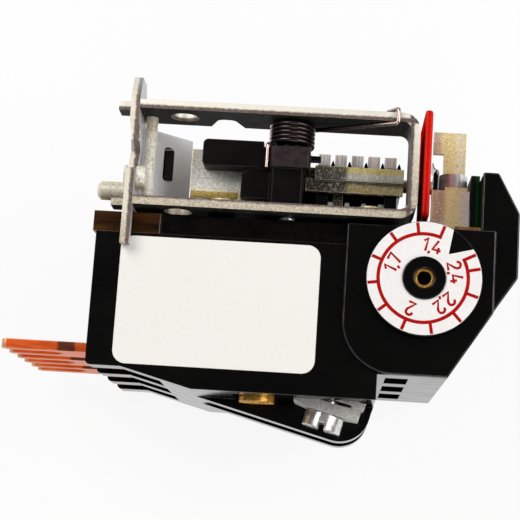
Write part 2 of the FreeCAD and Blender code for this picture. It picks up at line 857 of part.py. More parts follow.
pin_tip = "plate_left - pin_reach"
pin = joined(
    rod("X", *pin_spot, pin_tip + " + 0.6", "plate_left", "pin_radius"),
    rod("X", *pin_spot, "plate_left", "leg_left", "pin_radius - 0.3"),
    rod("X", *pin_spot, pin_tip, pin_tip + " + 0.6", "pin_radius - 0.6", "pin_radius"),
)
node(pin, "locating_pin")
rivet = joined(
    rod("X", *rivet_spot, "plate_left", "leg_left", "rivet_radius"),
    rod("X", *rivet_spot, "leg_left", "leg_left + 1.8", "rivet_head_radius"),
    rod("X", *rivet_spot, "plate_left - 0.5", "plate_left", "rivet_head_radius"),
)
node(rivet, "hook_rivet")
post_z = "near - 0.4 - rivet_head_radius - post_pin_radius - 0.4"
post_x = "leg_left + 0.6 + post_pin_radius"
node(rod("Y", post_x, post_z, "leg_top", "upper_low", "post_pin_radius"), "spacer_post")

# Pivot pin with flat heads, lever and torsion spring.
pivot = joined(
    rod("Y", "pivot_x", "pivot_z", "leg_low", "upper_top", "pivot_radius"),
    rod("Y", "pivot_x", "pivot_z", "leg_low - pivot_head", "leg_low", "pivot_radius + 0.7"),
    rod("Y", "pivot_x", "pivot_z", "upper_top", "upper_top + pivot_head", "pivot_radius + 0.7"),
)
node(pivot, "lever_pin")

arm = new_body()
arm_z = ("pivot_z - arm_thickness/2", "pivot_z + arm_thickness/2")
arm_tip = "pivot_x - arm_reach"
arm_top = "hub_top + arm_rise"
step = "pivot_x - hub_radius - 0.8"
reach = [
    (arm_tip, "hub_low"),
    ("pivot_x", "hub_low"),
    ("pivot_x", "hub_top"),
    (step, "hub_top"),
    (step, arm_top),
    (arm_tip, arm_top),
]
pad(arm, "Z", reach, *arm_z)
rounded(arm, "Z", [(arm_tip, "hub_low"), (arm_tip, arm_top)], "arm_round")
finger = [
    ("pivot_x - finger_reach", "hub_low - finger_height"),
    ("pivot_x", "hub_low - finger_height"),
    ("pivot_x", "hub_low + 0.5"),
    ("pivot_x - finger_reach + 1.3", "hub_low"),
    ("pivot_x - finger_reach", "hub_low - 1.1"),
]
pad(arm, "Z", finger, "pivot_z - arm_thickness/2 + 0.5", "pivot_z + arm_thickness/2 - 0.5")
hub = new_body()
hub_x = ("pivot_x - hub_half", "pivot_x + hub_half")
hub_z = ("pivot_z - hub_half", "pivot_z + hub_half")
pad(hub, "Y", square(hub_x, hub_z), "hub_low", "hub_top")
rounded(hub, "Y", [(a, b) for a in hub_x for b in hub_z], "hub_round")
stem = new_body()
stem_x = ("pivot_x - post_left", "pivot_x + post_right")
stem_z = ("pivot_z - post_half", "pivot_z + post_half")
pad(stem, "Y", square(stem_x, stem_z), "leg_top + end_gap", "hub_low")
rounded(stem, "Y", [(a, b) for a in stem_x for b in stem_z], "hub_round")
lever = joined(
    arm,
    hub,
    stem,
    rod("Y", "pivot_x", "pivot_z", "hub_top", "upper_low - end_gap", "coil_radius - wire_radius - 0.7"),
    block(
        ("pivot_x", "pivot_x + nub_reach"),
        ("hub_low + 2", "hub_low + 3"),
        ("pivot_z - 0.6", "pivot_z + 0.8"),
    ),
)
eye = rod("Y", "pivot_x", "pivot_z", "leg_low", "upper_top", "pivot_radius + running_gap")
node(without(lever, eye), "reset_lever")

coil_low = "(hub_top + end_gap + wire_radius)"
coil_high = "(" + coil_low + " + 5*coil_pitch)"
coil_near = "(pivot_z + coil_radius)"
helix = doc.addObject("Part::Helix", "Coil")
helix.setExpression("Pitch", full("coil_pitch"))
helix.setExpression("Height", full("5*coil_pitch"))
helix.setExpression("Radius", full("coil_radius"))
helix.Placement.Rotation = FreeCAD.Rotation(FreeCAD.Vector(1, 1, 1), 240)
for side, where in zip("xyz", ("pivot_x", coil_low, "pivot_z")):
    helix.setExpression("Placement.Base." + side, full(where))
section = doc.addObject("Part::Circle", "Wire")
section.setExpression("Radius", full("wire_radius"))
section.Placement.Rotation = turns["X"]
for side, where in zip("xyz", ("pivot_x", coil_low, coil_near)):
    section.setExpression("Placement.Base." + side, full(where))
coil = doc.addObject("Part::Sweep", "Turns")
coil.Sections = [section]
coil.Spine = (helix, ["Edge1"])
coil.Solid = True
coil.Frenet = True


def bead(x, y, z):
    ball = doc.addObject("Part::Sphere", "Bead")
    ball.setExpression("Radius", full("wire_radius"))
    for side, where in zip("xyz", (x, y, z)):
        ball.setExpression("Placement.Base." + side, full(where))
    return ball


# The lower end bears on the lever's arm, the upper end hooks over the bracket's upper leg.
down_x = "(pivot_x - hub_radius - 0.1)"
press_z = "(pivot_z + arm_thickness/2 + wire_radius + end_gap)"
catch_x = "(web_left - 2.4)"
catch_z = "(near_edge + wire_radius + end_gap)"
catch_y = "(upper_top + wire_radius + end_gap)"
spring = joined(
    coil,
    rod("X", coil_low, coil_near, down_x, "pivot_x", "wire_radius"),
    bead(down_x, coil_low, coil_near),
    rod("Z", down_x, coil_low, press_z, coil_near, "wire_radius"),
    bead(down_x, coil_low, press_z),
    rod("Y", down_x, press_z, "hub_low", coil_low, "wire_radius"),
    rod("X", coil_high, coil_near, "pivot_x", catch_x, "wire_radius"),
    bead(catch_x, coil_high, coil_near),
    rod("Z", catch_x, coil_high, coil_near, catch_z, "wire_radius"),
    bead(catch_x, coil_high, catch_z),
    rod("Y", catch_x, catch_z, coil_high, catch_y, "wire_radius"),
    bead(catch_x, catch_y, catch_z),
    rod("Z", catch_x, catch_y, "near_edge - 1.8", catch_z, "wire_radius"),
)
node(spring, "torsion_spring")

# Stop plate behind the lever's arm: upright sheet on the bracket with a turned lower edge.
stop_z = "(pivot_z - arm_thickness/2 - end_gap)"
stop_left = "pivot_x - arm_reach - 2.2"
stop_right = "pivot_x - hub_radius - 0.6"
stop_low = "(leg_top + bracket_head_height + 1.8)"
stand_left = "screw_a + bracket_head_radius + 0.4"
upright = new_body()
face = [
    (stop_left, stop_low),
    (stand_left, stop_low),
    (stand_left, "leg_top"),
    (stop_right, "leg_top"),
    (stop_right, "hub_top"),
    (stop_left, "hub_top"),
]
pad(upright, "Z", face, stop_z + " - bar_sheet", stop_z)
ledge = block(
    (stop_left, stand_left),
    (stop_low, stop_low + " + bar_sheet"),
    (stop_z + " - ledge_depth", stop_z + " - bar_sheet/2"),
)
sole = block(
    (stand_left, stop_right),
    ("leg_top", "leg_top + bar_sheet"),
    ("far_edge", stop_z + " - bar_sheet/2"),
)
node(joined(upright, ledge, sole), "stop_plate")

# Trip bar: L-shaped strip on two journals, with a tab down to the trip slide.
strip_y = ("bar_y - bar_sheet/2", "bar_y + bar_sheet/2")
bar = joined(
    block(
        ("bar_left", "bar_right"),
        (strip_y[0], strip_y[0] + " + bar_web"),
        ("web_face - bar_sheet", "web_face"),
    ),
    block(
        ("bar_left - bar_behind", "bar_right"),
        (strip_y[0] + " - bar_step", strip_y[0] + " + 0.4"),
        ("web_face - bar_setback - bar_sheet", "web_face - bar_setback"),
    ),
    block(
        ("bar_left - bar_behind", "bar_left + 0.2"),
        (strip_y[0], strip_y[0] + " + bar_web"),
        ("web_face - 2*bar_setback - bar_sheet", "web_face - 2*bar_setback"),
    ),
    block(
        ("fin_x + fin_thickness + 0.3", "fin_last - 0.3"),
        strip_y,
        ("bar_z - bar_flange/2", "web_face - bar_sheet/2"),
    ),
    block(
        ("tab_x", "tab_x + 1.8"),
        ("slide_y + 0.1", "bar_y"),
        ("bar_z - bar_sheet/2", "bar_z + bar_sheet/2"),
    ),
    rod("X", "bar_y", "bar_z", "fin_x + 0.2", "fin_x + fin_thickness + 2", "journal_radius"),
    rod("X", "bar_y", "bar_z", "fin_last - 2", "paddle_right + 1.1", "journal_radius"),
)
node(bar, "trip_bar")

# Carrier of the trip bar: open fins on a base, the first and the last one with a bearing.
ribs = [
    block(
        ("fin_x", "fin_last + fin_thickness"),
        ("cover_top", "cover_top + 2"),
        ("fin_near - fin_depth", "fin_near"),
    )
]
for number in range(5):
    start = "fin_x + " + str(number) + "*fin_pitch"
    ribs.append(
        block(
            (start, start + " + fin_thickness"),
            ("cover_top", "cover_top + fin_height"),
            ("fin_near - fin_depth", "fin_near"),
        )
    )
ribs.append(
    block(
        ("fin_x", "fin_last + fin_thickness"),
        ("bar_y - rail_drop", "bar_y - rail_drop + rail_height"),
        ("fin_near - rail_depth", "fin_near"),
    )
)
eyes = []
for start in ("fin_x", "fin_last"):
    ribs.append(
        block(
            (start, start + " + fin_thickness"),
            ("cover_top", "bar_y + journal_radius + 1.6"),
            ("fin_near - 1", "lug_face"),
        )
    )
    ends = (start + " - 1", start + " + fin_thickness + 1")
    eyes.append(rod("X", "bar_y", "bar_z", *ends, "journal_radius + running_gap"))
node(without(joined(*ribs), *eyes), "bar_carrier")

# Red paddle pressed on the end of the trip bar.
paddle = new_body()
low = "leg_low + 0.6"
high = "upper_top + paddle_rise"
back = "bar_z - journal_radius - 2.3"
fore = "near + paddle_overhang"
pad(paddle, "X", square((low, high), (back, fore)), "paddle_left", "paddle_right")
rounded(paddle, "X", [(low, back), (low, fore), (high, back), (high, fore)], "1.2")
bore(paddle, "X", ("bar_y", "bar_z"), "journal_radius + 0.03", "paddle_left - 1", "paddle_right + 1")
node(paddle, "reset_paddle")

# Mechanism housing: a box open to the front with the spindle's boss, closed by a front plate.
case = new_body()
profile = [
    ("right", "cover_top"),
    ("block_right", "cover_top"),
    ("block_right", "block_low + chamfer_height"),
    ("block_right - chamfer_length", "block_low"),
    ("right", "block_low"),
]
pad(case, "Z", profile, "0", "near")
inside = [
    ("right + block_wall", "cover_top - block_wall"),
    ("block_right - block_wall", "cover_top - block_wall"),
    ("block_right - block_wall", "block_low + chamfer_height + block_wall*0.3"),
    ("block_right - chamfer_length - block_wall*0.6", "block_low + block_wall"),
    ("right + block_wall", "block_low + block_wall"),
]
pocket(case, "Z", inside, "block_wall", "near + 1")
for number in range(3):
    grille = square(("right + 1.6", "right + 5.6"), ("block_low - 1", "block_low + block_wall/2"))
    pocket(case, "Z", grille, pole(number) + " - chamber/2", pole(number) + " + chamber/2")
boss = rod("Z", "dial_x", "dial_y", "block_wall/2", "spindle_low + 6", "spindle_radius + 2.2")
seat_hole = rod("Z", "dial_x", "dial_y", "spindle_low - end_gap", "near", "spindle_radius + running_gap")
node(without(joined(case, boss), seat_hole), "mechanism_housing")

face_plate = new_body()
profile = [
    ("right - front_overlap", "cover_top"),
    ("block_right", "cover_top"),
    ("block_right", "block_low + chamfer_height"),
    ("block_right - chamfer_length", "block_low"),
    ("right - front_overlap", "block_low"),
]
pad(face_plate, "Z", profile, "near", "front")
rounded(face_plate, "Z", [("right - front_overlap", "block_low")], "front_radius")
bore(face_plate, "Z", ("dial_x", "dial_y"), "spindle_radius + running_gap", "near - 1", "front + 1")
node(face_plate, "mechanism_cover")

# Setting dial: black disc and hub, white scale with a notch, brass spindle and eccentric cam.
spot = ("dial_x", "dial_y")
disc = joined(
    rod("Z", *spot, "dial_z", "disc_top", "dial_radius"),
    rod("Z", *spot, "disc_top", "disc_top + hub_disc_rise", "hub_disc_radius"),
)
eye = rod("Z", *spot, "dial_z - 1", "disc_top + hub_disc_rise + 1", "spindle_radius")
node(without(disc, eye), "dial_knob")

annulus = new_body()
scale_top = "disc_top + scale_thickness"
round_pad(annulus, "Z", spot, "dial_radius - 0.15", "disc_top", scale_top)
bore(annulus, "Z", spot, "hub_disc_radius", "disc_top - 1", scale_top + " + 1")
vee = []
for angle, reach_out in (("47.5", "scale_notch"), ("30", "(dial_radius + 2)"), ("65", "(dial_radius + 2)")):
    vee.append(
        ("dial_x + " + reach_out + "*cos(" + angle + ")", "dial_y + " + reach_out + "*sin(" + angle + ")")
    )
pocket(annulus, "Z", vee, "disc_top - 1", scale_top + " + 1")
node(annulus, "dial_scale")

spindle = rod("Z", *spot, "spindle_low", "disc_top", "spindle_radius")
socket = rod("Z", *spot, "disc_top - 4", "disc_top + 1", "spindle_bore")
node(without(spindle, socket), "dial_spindle")
cam_low = "spindle_low + 8"
cam_high = "spindle_low + 8 + cam_thickness"
cam = rod("Z", "dial_x + cam_offset", "dial_y", cam_low, cam_high, "cam_radius")
eye = rod("Z", *spot, "spindle_low", "front", "spindle_radius")
node(without(cam, eye), "setting_cam")
follower_x = "dial_x + cam_radius + cam_offset + 0.5"
strip = block(
    (follower_x, follower_x + " + follower_thickness"),
    ("dial_y - follower_low", "dial_y + follower_high"),
    ("block_wall", cam_high + " + 1"),
)
node(strip, "compensating_strip")

# Contact block at the right end, green strip, auxiliary terminals.
ending = new_body()
profile = [
    ("block_right", "cover_top - end_rise*1.28"),
    ("block_right + end_length", "cover_top - end_rise*0.69"),
    ("block_right + end_length", "cover_top + end_rise*0.35"),
    ("block_right + 0.4", "cover_top + end_rise"),
    ("end_x", "cover_top + end_rise"),
    ("end_x", "cover_top"),
    ("block_right", "cover_top"),
]
pad(ending, "Z", profile, "end_margin", "near - end_setback")
node(ending, "contact_block")
strip = block(
    ("aux_right + 0.2", "end_x"),
    ("cover_top", "cover_top + end_rise + insulator_rise"),
    ("aux_near - insulator_depth", "aux_near - 0.3"),
)
node(strip, "insulator_strip")
lower = joined(
    block(
        ("aux_left", "aux_right"), ("cover_top", "aux_top"), ("aux_near - terminal_sheet", "aux_near")
    ),
    block(
        ("aux_left + 1.5", "aux_right"),
        ("aux_top - terminal_sheet", "aux_top"),
        ("aux_near - aux_depth", "aux_near"),
    ),
)
hole = rod("Y", "aux_x", "aux_z", "cover_top", "aux_foot + 1", "aux_screw_radius + hole_gap")
node(without(lower, hole), "lower_contact_terminal")
riser_z = ("aux_z - aux_head_radius - 0.3 - terminal_sheet", "aux_z - aux_head_radius - 0.3")
riser_top = "aux_top + aux_riser"
upper = new_body()
shape = [
    ("aux_right - 0.3", "aux_top"),
    ("aux_right - 0.3", riser_top),
    ("aux_left + 0.5", riser_top),
    ("aux_left + 0.5", riser_top + " - aux_hook"),
    ("aux_left + 2.5", riser_top + " - aux_hook"),
    ("aux_left + 2.5", "aux_top"),
]
pad(upper, "Z", shape, *riser_z)
foot = block(
    ("aux_left + 2.5", "aux_right - 0.3"),
    ("aux_top", "aux_foot"),
    (riser_z[0], "aux_near - terminal_sheet - 0.4"),
)
hole = rod("Y", "aux_x", "aux_z", "aux_top - 1", "aux_foot + 1", "aux_screw_radius + hole_gap")
node(without(joined(upper, foot), hole), "upper_contact_terminal")
head_top = "aux_foot + aux_head_height"
screw = joined(
    rod("Y", "aux_x", "aux_z", "aux_foot", head_top, "aux_head_radius"),
    rod("Y", "aux_x", "aux_z", "cover_top + 2", "aux_foot", "aux_screw_radius"),
)
slit = block(
    ("aux_x - aux_head_radius - 1", "aux_x + aux_head_radius + 1"),
    (head_top + " - slot_depth", head_top + " + 1"),
    ("aux_z - slot_width/2", "aux_z + slot_width/2"),
)
node(without(screw, slit), "contact_screw")
strip = block(
    ("aux_left + 4", "end_x - 0.2"),
    ("cover_top", "cover_top + 0.9"),
    ("aux_near + 0.3", "near - 1"),
)
node(strip, "contact_strip")

# Bare rating label on the near wall.
label = new_body()
label_x = ("label_left", "label_right")
label_y = ("label_top - label_height", "label_top")
pad(label, "Z", square(label_x, label_y), "near", "near + label_thickness")
corners = [(a, b) for a in label_x for b in label_y]
rounded(label, "Z", corners, "label_radius")
node(label, "rating_label")

doc.recompute()
faults = []
for thing in doc.Objects:
    if "Invalid" in thing.State or "Error" in thing.State:
        faults.append(thing.Name + " " + str(thing.State))
for thing in nodes:
    if thing.Shape.isNull() or not thing.Shape.isValid() or not thing.Shape.Solids:
        faults.append(thing.Label + " has no valid solid")
if faults:
    raise SystemExit("not written: " + "; ".join(faults))
os.makedirs("parts", exist_ok=True)
for thing in nodes:
    thing.Shape.exportStep(os.path.join("parts", thing.Label + ".step"))
print(len(nodes), "nodes written")
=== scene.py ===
import bpy
import bmesh
import json
import math
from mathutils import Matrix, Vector

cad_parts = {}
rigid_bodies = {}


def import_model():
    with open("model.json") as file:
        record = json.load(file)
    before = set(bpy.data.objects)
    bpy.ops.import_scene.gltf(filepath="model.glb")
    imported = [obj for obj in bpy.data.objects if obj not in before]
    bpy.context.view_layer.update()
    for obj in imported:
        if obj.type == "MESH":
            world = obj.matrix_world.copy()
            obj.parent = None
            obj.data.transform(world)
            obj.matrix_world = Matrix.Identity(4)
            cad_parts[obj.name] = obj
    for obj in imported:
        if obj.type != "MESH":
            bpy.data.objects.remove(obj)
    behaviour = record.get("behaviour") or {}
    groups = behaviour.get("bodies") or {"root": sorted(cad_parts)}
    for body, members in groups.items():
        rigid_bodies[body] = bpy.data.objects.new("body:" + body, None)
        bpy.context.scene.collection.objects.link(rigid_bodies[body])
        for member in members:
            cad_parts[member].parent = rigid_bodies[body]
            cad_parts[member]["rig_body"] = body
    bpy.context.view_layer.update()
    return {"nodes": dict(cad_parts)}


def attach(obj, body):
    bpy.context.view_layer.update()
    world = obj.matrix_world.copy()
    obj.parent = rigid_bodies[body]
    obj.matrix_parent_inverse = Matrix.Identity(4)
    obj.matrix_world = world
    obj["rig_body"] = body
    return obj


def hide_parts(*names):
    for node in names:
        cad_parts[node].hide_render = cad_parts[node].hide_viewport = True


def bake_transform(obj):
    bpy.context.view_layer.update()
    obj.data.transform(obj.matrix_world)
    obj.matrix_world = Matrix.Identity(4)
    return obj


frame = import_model()
scene = bpy.context.scene
scene.view_settings.view_transform = "Standard"
mm = 0.001
poles = (1, 2, 3)
print("frame loaded:", len(frame["nodes"]), "CAD nodes")


# the relay lies on its far side wall, seen almost straight from above
viewpoint = {
    "place": (0.01328734, -0.04854227, 0.29915083),
    "turn": (11.23251, 1.31645, 3.54807),
    "lens": 102.404,
    "sensor": 36,
    "shift": (-0.050413, -0.022374),
    "near": 0.01,
}
cameraData = bpy.data.cameras.new("relayCamera")
cameraData.lens = viewpoint["lens"]
cameraData.sensor_width = viewpoint["sensor"]
cameraData.shift_x, cameraData.shift_y = viewpoint["shift"]
cameraData.clip_start = viewpoint["near"]
relayCamera = bpy.data.objects.new("relayCamera", cameraData)
relayCamera.location = viewpoint["place"]
relayCamera.rotation_euler = [math.radians(a) for a in viewpoint["turn"]]
scene.collection.objects.link(relayCamera)
scene.camera = relayCamera
print("camera placed")


# small tools for node trees
def addNode(tree, kind, feeds=None, **setup):
    node = tree.nodes.new(kind)
    for key, value in setup.items():
        setattr(node, key, value)
    for key, value in (feeds or {}).items():
        if isinstance(value, bpy.types.NodeSocket):
            tree.links.new(value, node.inputs[key])
        else:
            node.inputs[key].default_value = value
    return node


def startFinish(name):
    finish = bpy.data.materials.new(name)
    finish.use_nodes = True
    tree = finish.node_tree
    shader = tree.nodes["Principled BSDF"]
    place = addNode(tree, "ShaderNodeTexCoord").outputs["Object"]  # metres, rides with the piece
    return finish, tree, shader, place


def stretched(tree, place, by):
    return addNode(tree, "ShaderNodeMapping", {"Vector": place, "Scale": by}).outputs["Vector"]


def grain(tree, place, size, detail=3.0, rough=0.55):
    # size is the grain in millimetres
    feeds = {"Vector": place, "Scale": 1 / (size * mm), "Detail": detail, "Roughness": rough}
    return addNode(tree, "ShaderNodeTexNoise", feeds).outputs["Fac"]


def ramp(tree, fac, stops):
    node = addNode(tree, "ShaderNodeValToRGB", {"Fac": fac})
    line = node.color_ramp
    while len(line.elements) < len(stops):
        line.elements.new(0.5)
    for element, (where, tone) in zip(line.elements, stops):
        element.position = where
        element.color = (*tone, 1) if hasattr(tone, "__len__") else (tone, tone, tone, 1)
    return node.outputs["Color"]


def blendTones(tree, fac, first, second):
    node = addNode(tree, "ShaderNodeMix", data_type="RGBA")
    for socket, value in ((node.inputs[0], fac), (node.inputs[6], first), (node.inputs[7], second)):
        if isinstance(value, bpy.types.NodeSocket):
            tree.links.new(value, socket)
        elif hasattr(value, "__len__"):
            socket.default_value = (*value, 1)
        else:
            socket.default_value = value
    return node.outputs[2]


def maths(tree, step, first, second=0.0):
    return addNode(tree, "ShaderNodeMath", {0: first, 1: second}, operation=step).outputs[0]


def times(tree, first, second):
    return maths(tree, "MULTIPLY", first, second)


def strongest(tree, values):
    top = values[0]
    for value in values[1:]:
        top = maths(tree, "MAXIMUM", top, value)
    return top


def risen(tree, value, low, high, start=0.0, end=1.0):
    # start at low, end at high, straight between
    feeds = {"Value": value, "From Min": low, "From Max": high, "To Min": start, "To Max": end}
    return addNode(tree, "ShaderNodeMapRange", feeds).outputs["Result"]


def overSpan(tree, value, low, high):
    # 0 to 1 over a span in millimetres
    return risen(tree, value, low * mm, high * mm)


def spread(tree, fac, low, high):
    # a grain of 0..1 becomes a range of roughness
    return risen(tree, fac, 0.3, 0.7, low, high)


def between(tree, value, low, high, soft):
    # 1 where low < value < high, with soft sides, all in millimetres
    rise = overSpan(tree, value, low - soft, low + soft)
    return times(tree, rise, overSpan(tree, value, high + soft, high - soft))


def axes(tree, vector):
    return addNode(tree, "ShaderNodeSeparateXYZ", {"Vector": vector}).outputs


def facing(tree):
    # the surface's own direction in the piece's frame
    return axes(tree, addNode(tree, "ShaderNodeTexCoord").outputs["Normal"])


def boxed(tree, place, spanX, spanY, softY=0.1, softX=0.1):
    # 1 inside a box of x and y in millimetres
    x, y, z = axes(tree, place)
    return times(tree, between(tree, x, *spanX, softX), between(tree, y, *spanY, softY))


def ragged(tree, value, place, size, detail, rough, reach):
    # a place along an axis, pushed to and fro by a grain, for a torn outline
    wander = maths(tree, "SUBTRACT", grain(tree, place, size, detail, rough), 0.5)
    return maths(tree, "ADD", value, times(tree, wander, reach * mm))


def banded(tree, place, tone, look):
    # across: an axis, how far it shows, and tones set out along the axis in millimetres
    if "across" not in look:
        return tone
    axis, share, stops = look["across"]
    first, last = stops[0][0], stops[-1][0]
    run = overSpan(tree, axes(tree, place)[axis], first, last)
    tones = ramp(tree, run, [((at - first) / (last - first), stop) for at, stop in stops])
    return blendTones(tree, share, tone, tones)


def dress(tree, shader, tone, rough):
    tree.links.new(tone, shader.inputs["Base Color"])
    tree.links.new(rough, shader.inputs["Roughness"])


def pressIn(tree, shader, height, strength, depth):
    # depth in millimetres
    node = addNode(tree, "ShaderNodeBump", {"Height": height, "Strength": strength, "Distance": depth * mm})
    tree.links.new(node.outputs["Normal"], shader.inputs["Normal"])


# black mouldings: cloudy, a little dusty, and with a patch of streaky painted sheen on front faces where the
# look asks for one
mouldLook = {
    "dustGrain": 0.33, "dustTone": (0.16, 0.14, 0.12), "paintedSheenGrain": 0.3, "front": 0.6, "scuffGrain": 1.6,
    "scuffRun": (0.25, 1.0, 1.0), "depth": 0.06,
}


def blackMoulding(name, look):
    finish, tree, shader, place = startFinish(name)
    tone = ramp(tree, grain(tree, place, look["cloud"], 4), [(0.35, look["deep"]), (0.7, look["pale"])])
    dust = ramp(tree, grain(tree, place, look["dustGrain"], 2), [(0.70, 0.0), (0.76, 1.0)])
    tone = blendTones(tree, times(tree, dust, look["dust"]), tone, look["dustTone"])
    # painted sheen: pale streaks on front faces in a box, painted reflection on the fins and painted sheen on
    # the lever's hub
    if "paintedSheen" in look:
        paintedSheen = look["paintedSheen"]
        streak = grain(tree, stretched(tree, place, paintedSheen["run"]), look["paintedSheenGrain"])
        streak = ramp(tree, streak, [(0.35, 0.55), (0.6, 1.0)])
        front = maths(tree, "GREATER_THAN", facing(tree)[2], look["front"])
        spot = times(tree, boxed(tree, place, paintedSheen["x"], paintedSheen["y"], paintedSheen["soft"]), front)
        tone = blendTones(tree, times(tree, spot, streak), tone, paintedSheen["tone"])
    scuff = grain(tree, stretched(tree, place, look["scuffRun"]), look["scuffGrain"], 5)
    dress(tree, shader, tone, spread(tree, scuff, *look["sheen"]))
    shader.inputs["Specular IOR Level"].default_value = look["shine"]
    pressIn(tree, shader, grain(tree, place, look["skin"]), look["relief"], look["depth"])
    return finish


glossBlackLook = {
    **mouldLook, "cloud": 9, "deep": (0.0010, 0.0009, 0.0008), "pale": (0.0026, 0.0022, 0.0020),
    "dust": 0.02, "sheen": (0.10, 0.20), "shine": 0.2, "skin": 0.9, "relief": 0.05,
}
glossBlack = blackMoulding("glossBlack", glossBlackLook)
# a lighter copy for the rounded edges: painted highlight along them
glossBlackRimHighlight = blackMoulding("glossBlackRimHighlight", {
    **glossBlackLook, "deep": (0.006, 0.005, 0.005), "pale": (0.03, 0.027, 0.025), "cloud": 2.2, "shine": 0.4,
})
# lighter still for the mechanism cover's rim: a painted highlight line
coverRimHighlight = blackMoulding("coverRimHighlight", {
    **glossBlackLook, "deep": (0.010, 0.008, 0.008), "pale": (0.055, 0.045, 0.044), "cloud": 3, "shine": 0.3,
})
# painted reflection: pale streaks on the fins' front faces
finPaintedReflection = {
    "x": (8.0, 24.5), "y": (18.6, 26.0), "soft": 2.2, "tone": (1.0, 0.93, 0.89), "run": (1.0, 0.06, 0.3),
}
finBlack = blackMoulding("finBlack", {**glossBlackLook, "paintedSheen": finPaintedReflection})
# painted sheen: a purple-brown patch on the front of the lever's hub
hubPaintedSheen = {
    "x": (0.5, 7.7), "y": (15.7, 19.4), "soft": 0.2, "tone": (0.038, 0.026, 0.029), "run": (0.3, 0.3, 0.3),
}
leverBlackLook = {
    **mouldLook, "cloud": 5, "deep": (0.0022, 0.0017, 0.0014), "pale": (0.0050, 0.0040, 0.0036),
    "dust": 0.05, "sheen": (0.26, 0.38), "shine": 0.08, "skin": 0.28, "relief": 0.16, "paintedSheen": hubPaintedSheen,
}
leverBlack = blackMoulding("leverBlack", leverBlackLook)
# a lighter copy for the lever's rounded edges: painted highlight
leverBlackRimHighlight = blackMoulding("leverBlackRimHighlight", {
    **leverBlackLook, "deep": (0.014, 0.011, 0.011), "pale": (0.05, 0.042, 0.042), "cloud": 1.4,
})


# housing cover: streaky brown at its left end, almost black past the seam
bandLook = {
    "seam": -18.0, "half": 0.07, "soft": 0.03, "fade": (-0.3, 0.6), "face": 46.1, "seamShare": 0.8,
    "seamTone": (0.16, 0.15, 0.14), "streakRun": (0.22, 1.6, 0.5), "streakGrain": 2.6, "sheenGrain": 1.3,
    "sheen": (0.2, 0.38), "shine": 0.07, "skin": 0.8, "relief": 0.1, "depth": 0.08,
}


def brownMoulding(name, look, lift):
    finish, tree, shader, place = startFinish(name)
    x, y, z = axes(tree, place)
    at = look["seam"]
    streak = grain(tree, stretched(tree, place, look["streakRun"]), look["streakGrain"], 5)
    brown = ramp(tree, streak, [(0.3, (0.008 * lift, 0.0035 * lift, 0.0012)),
                                (0.55, (0.044 * lift, 0.0150 * lift, 0.0026)),
                                (0.75, (0.085 * lift, 0.0340 * lift, 0.0070))])
    dark = ramp(tree, streak, [(0.45, (0.0012 * lift, 0.0009 * lift, 0.0008)),
                               (0.8, (0.0060 * lift, 0.0034 * lift, 0.0018))])
    tone = blendTones(tree, overSpan(tree, x, at + look["fade"][0], at + look["fade"][1]), brown, dark)
    seam = between(tree, x, at - look["half"], at + look["half"], look["soft"])
    seam = times(tree, seam, maths(tree, "GREATER_THAN", z, look["face"] * mm))
    tone = blendTones(tree, times(tree, seam, look["seamShare"]), tone, look["seamTone"])
    dress(tree, shader, tone, spread(tree, grain(tree, place, look["sheenGrain"], 4), *look["sheen"]))
    shader.inputs["Specular IOR Level"].default_value = look["shine"]
    skin = maths(tree, "SUBTRACT", grain(tree, place, look["skin"]), seam)
    pressIn(tree, shader, skin, look["relief"], look["depth"])
    return finish


brownBand = brownMoulding("brownBand", bandLook, 1.0)
# 2.2 times lighter for the rounded edges: painted highlight
brownBandRimHighlight = brownMoulding("brownBandRimHighlight", bandLook, 2.2)


# plated sheet: mottled rolled faces, and cut edges with the shear's lines and a darker torn side
def rolledFace(tree, place, mottle, look):
    rolled = ramp(tree, mottle, [(0.30, look["low"]), (0.52, look["mid"]), (0.72, look["high"])])
    # faces looking down along y darker: painted shade on undersides
    if "under" in look:
        shade = ramp(tree, mottle, [(0.3, look["under"][0]), (0.7, look["under"][1])])
        rolled = blendTones(tree, risen(tree, facing(tree)[1], *look["underFrom"]), rolled, shade)
    if "glare" in look:
        glare = look["glare"]
        nx, ny, nz = facing(tree)
        slanted = maths(tree, "GREATER_THAN", times(tree, nx, nz), look["slant"])
        lit = times(tree, slanted, overSpan(tree, axes(tree, place)[1], *glare["y"]))
        rolled = blendTones(tree, lit, rolled, glare["tone"])
    return rolled


def cutFace(tree, place, look):
    shear = grain(tree, stretched(tree, place, look["shearRun"]), look["shearGrain"], 4, 0.6)
    cut = ramp(tree, shear, [(0.28, look["cutLow"]), (0.5, look["cutMid"]), (0.72, look["cutHigh"])])
    if "sunlit" in look:
        sun = look["sunlit"]
        lit = times(tree, overSpan(tree, axes(tree, place)[1], *sun["y"]), sun["share"])
        cut = blendTones(tree, lit, cut, sun["tone"])
    if look["torn"]:
        torn = ramp(tree, shear, [(0.3, look["tornLow"]), (0.7, look["tornHigh"])])
        bands = []
        for axis, low, high in look["torn"]:
            where = ragged(tree, axes(tree, place)[axis], place, look["tornGrain"], 6, 0.7, look["tornReach"])
            bands.append(between(tree, where, low, high, look["tornSoft"]))
        cut = blendTones(tree, strongest(tree, bands), cut, torn)
    return cut


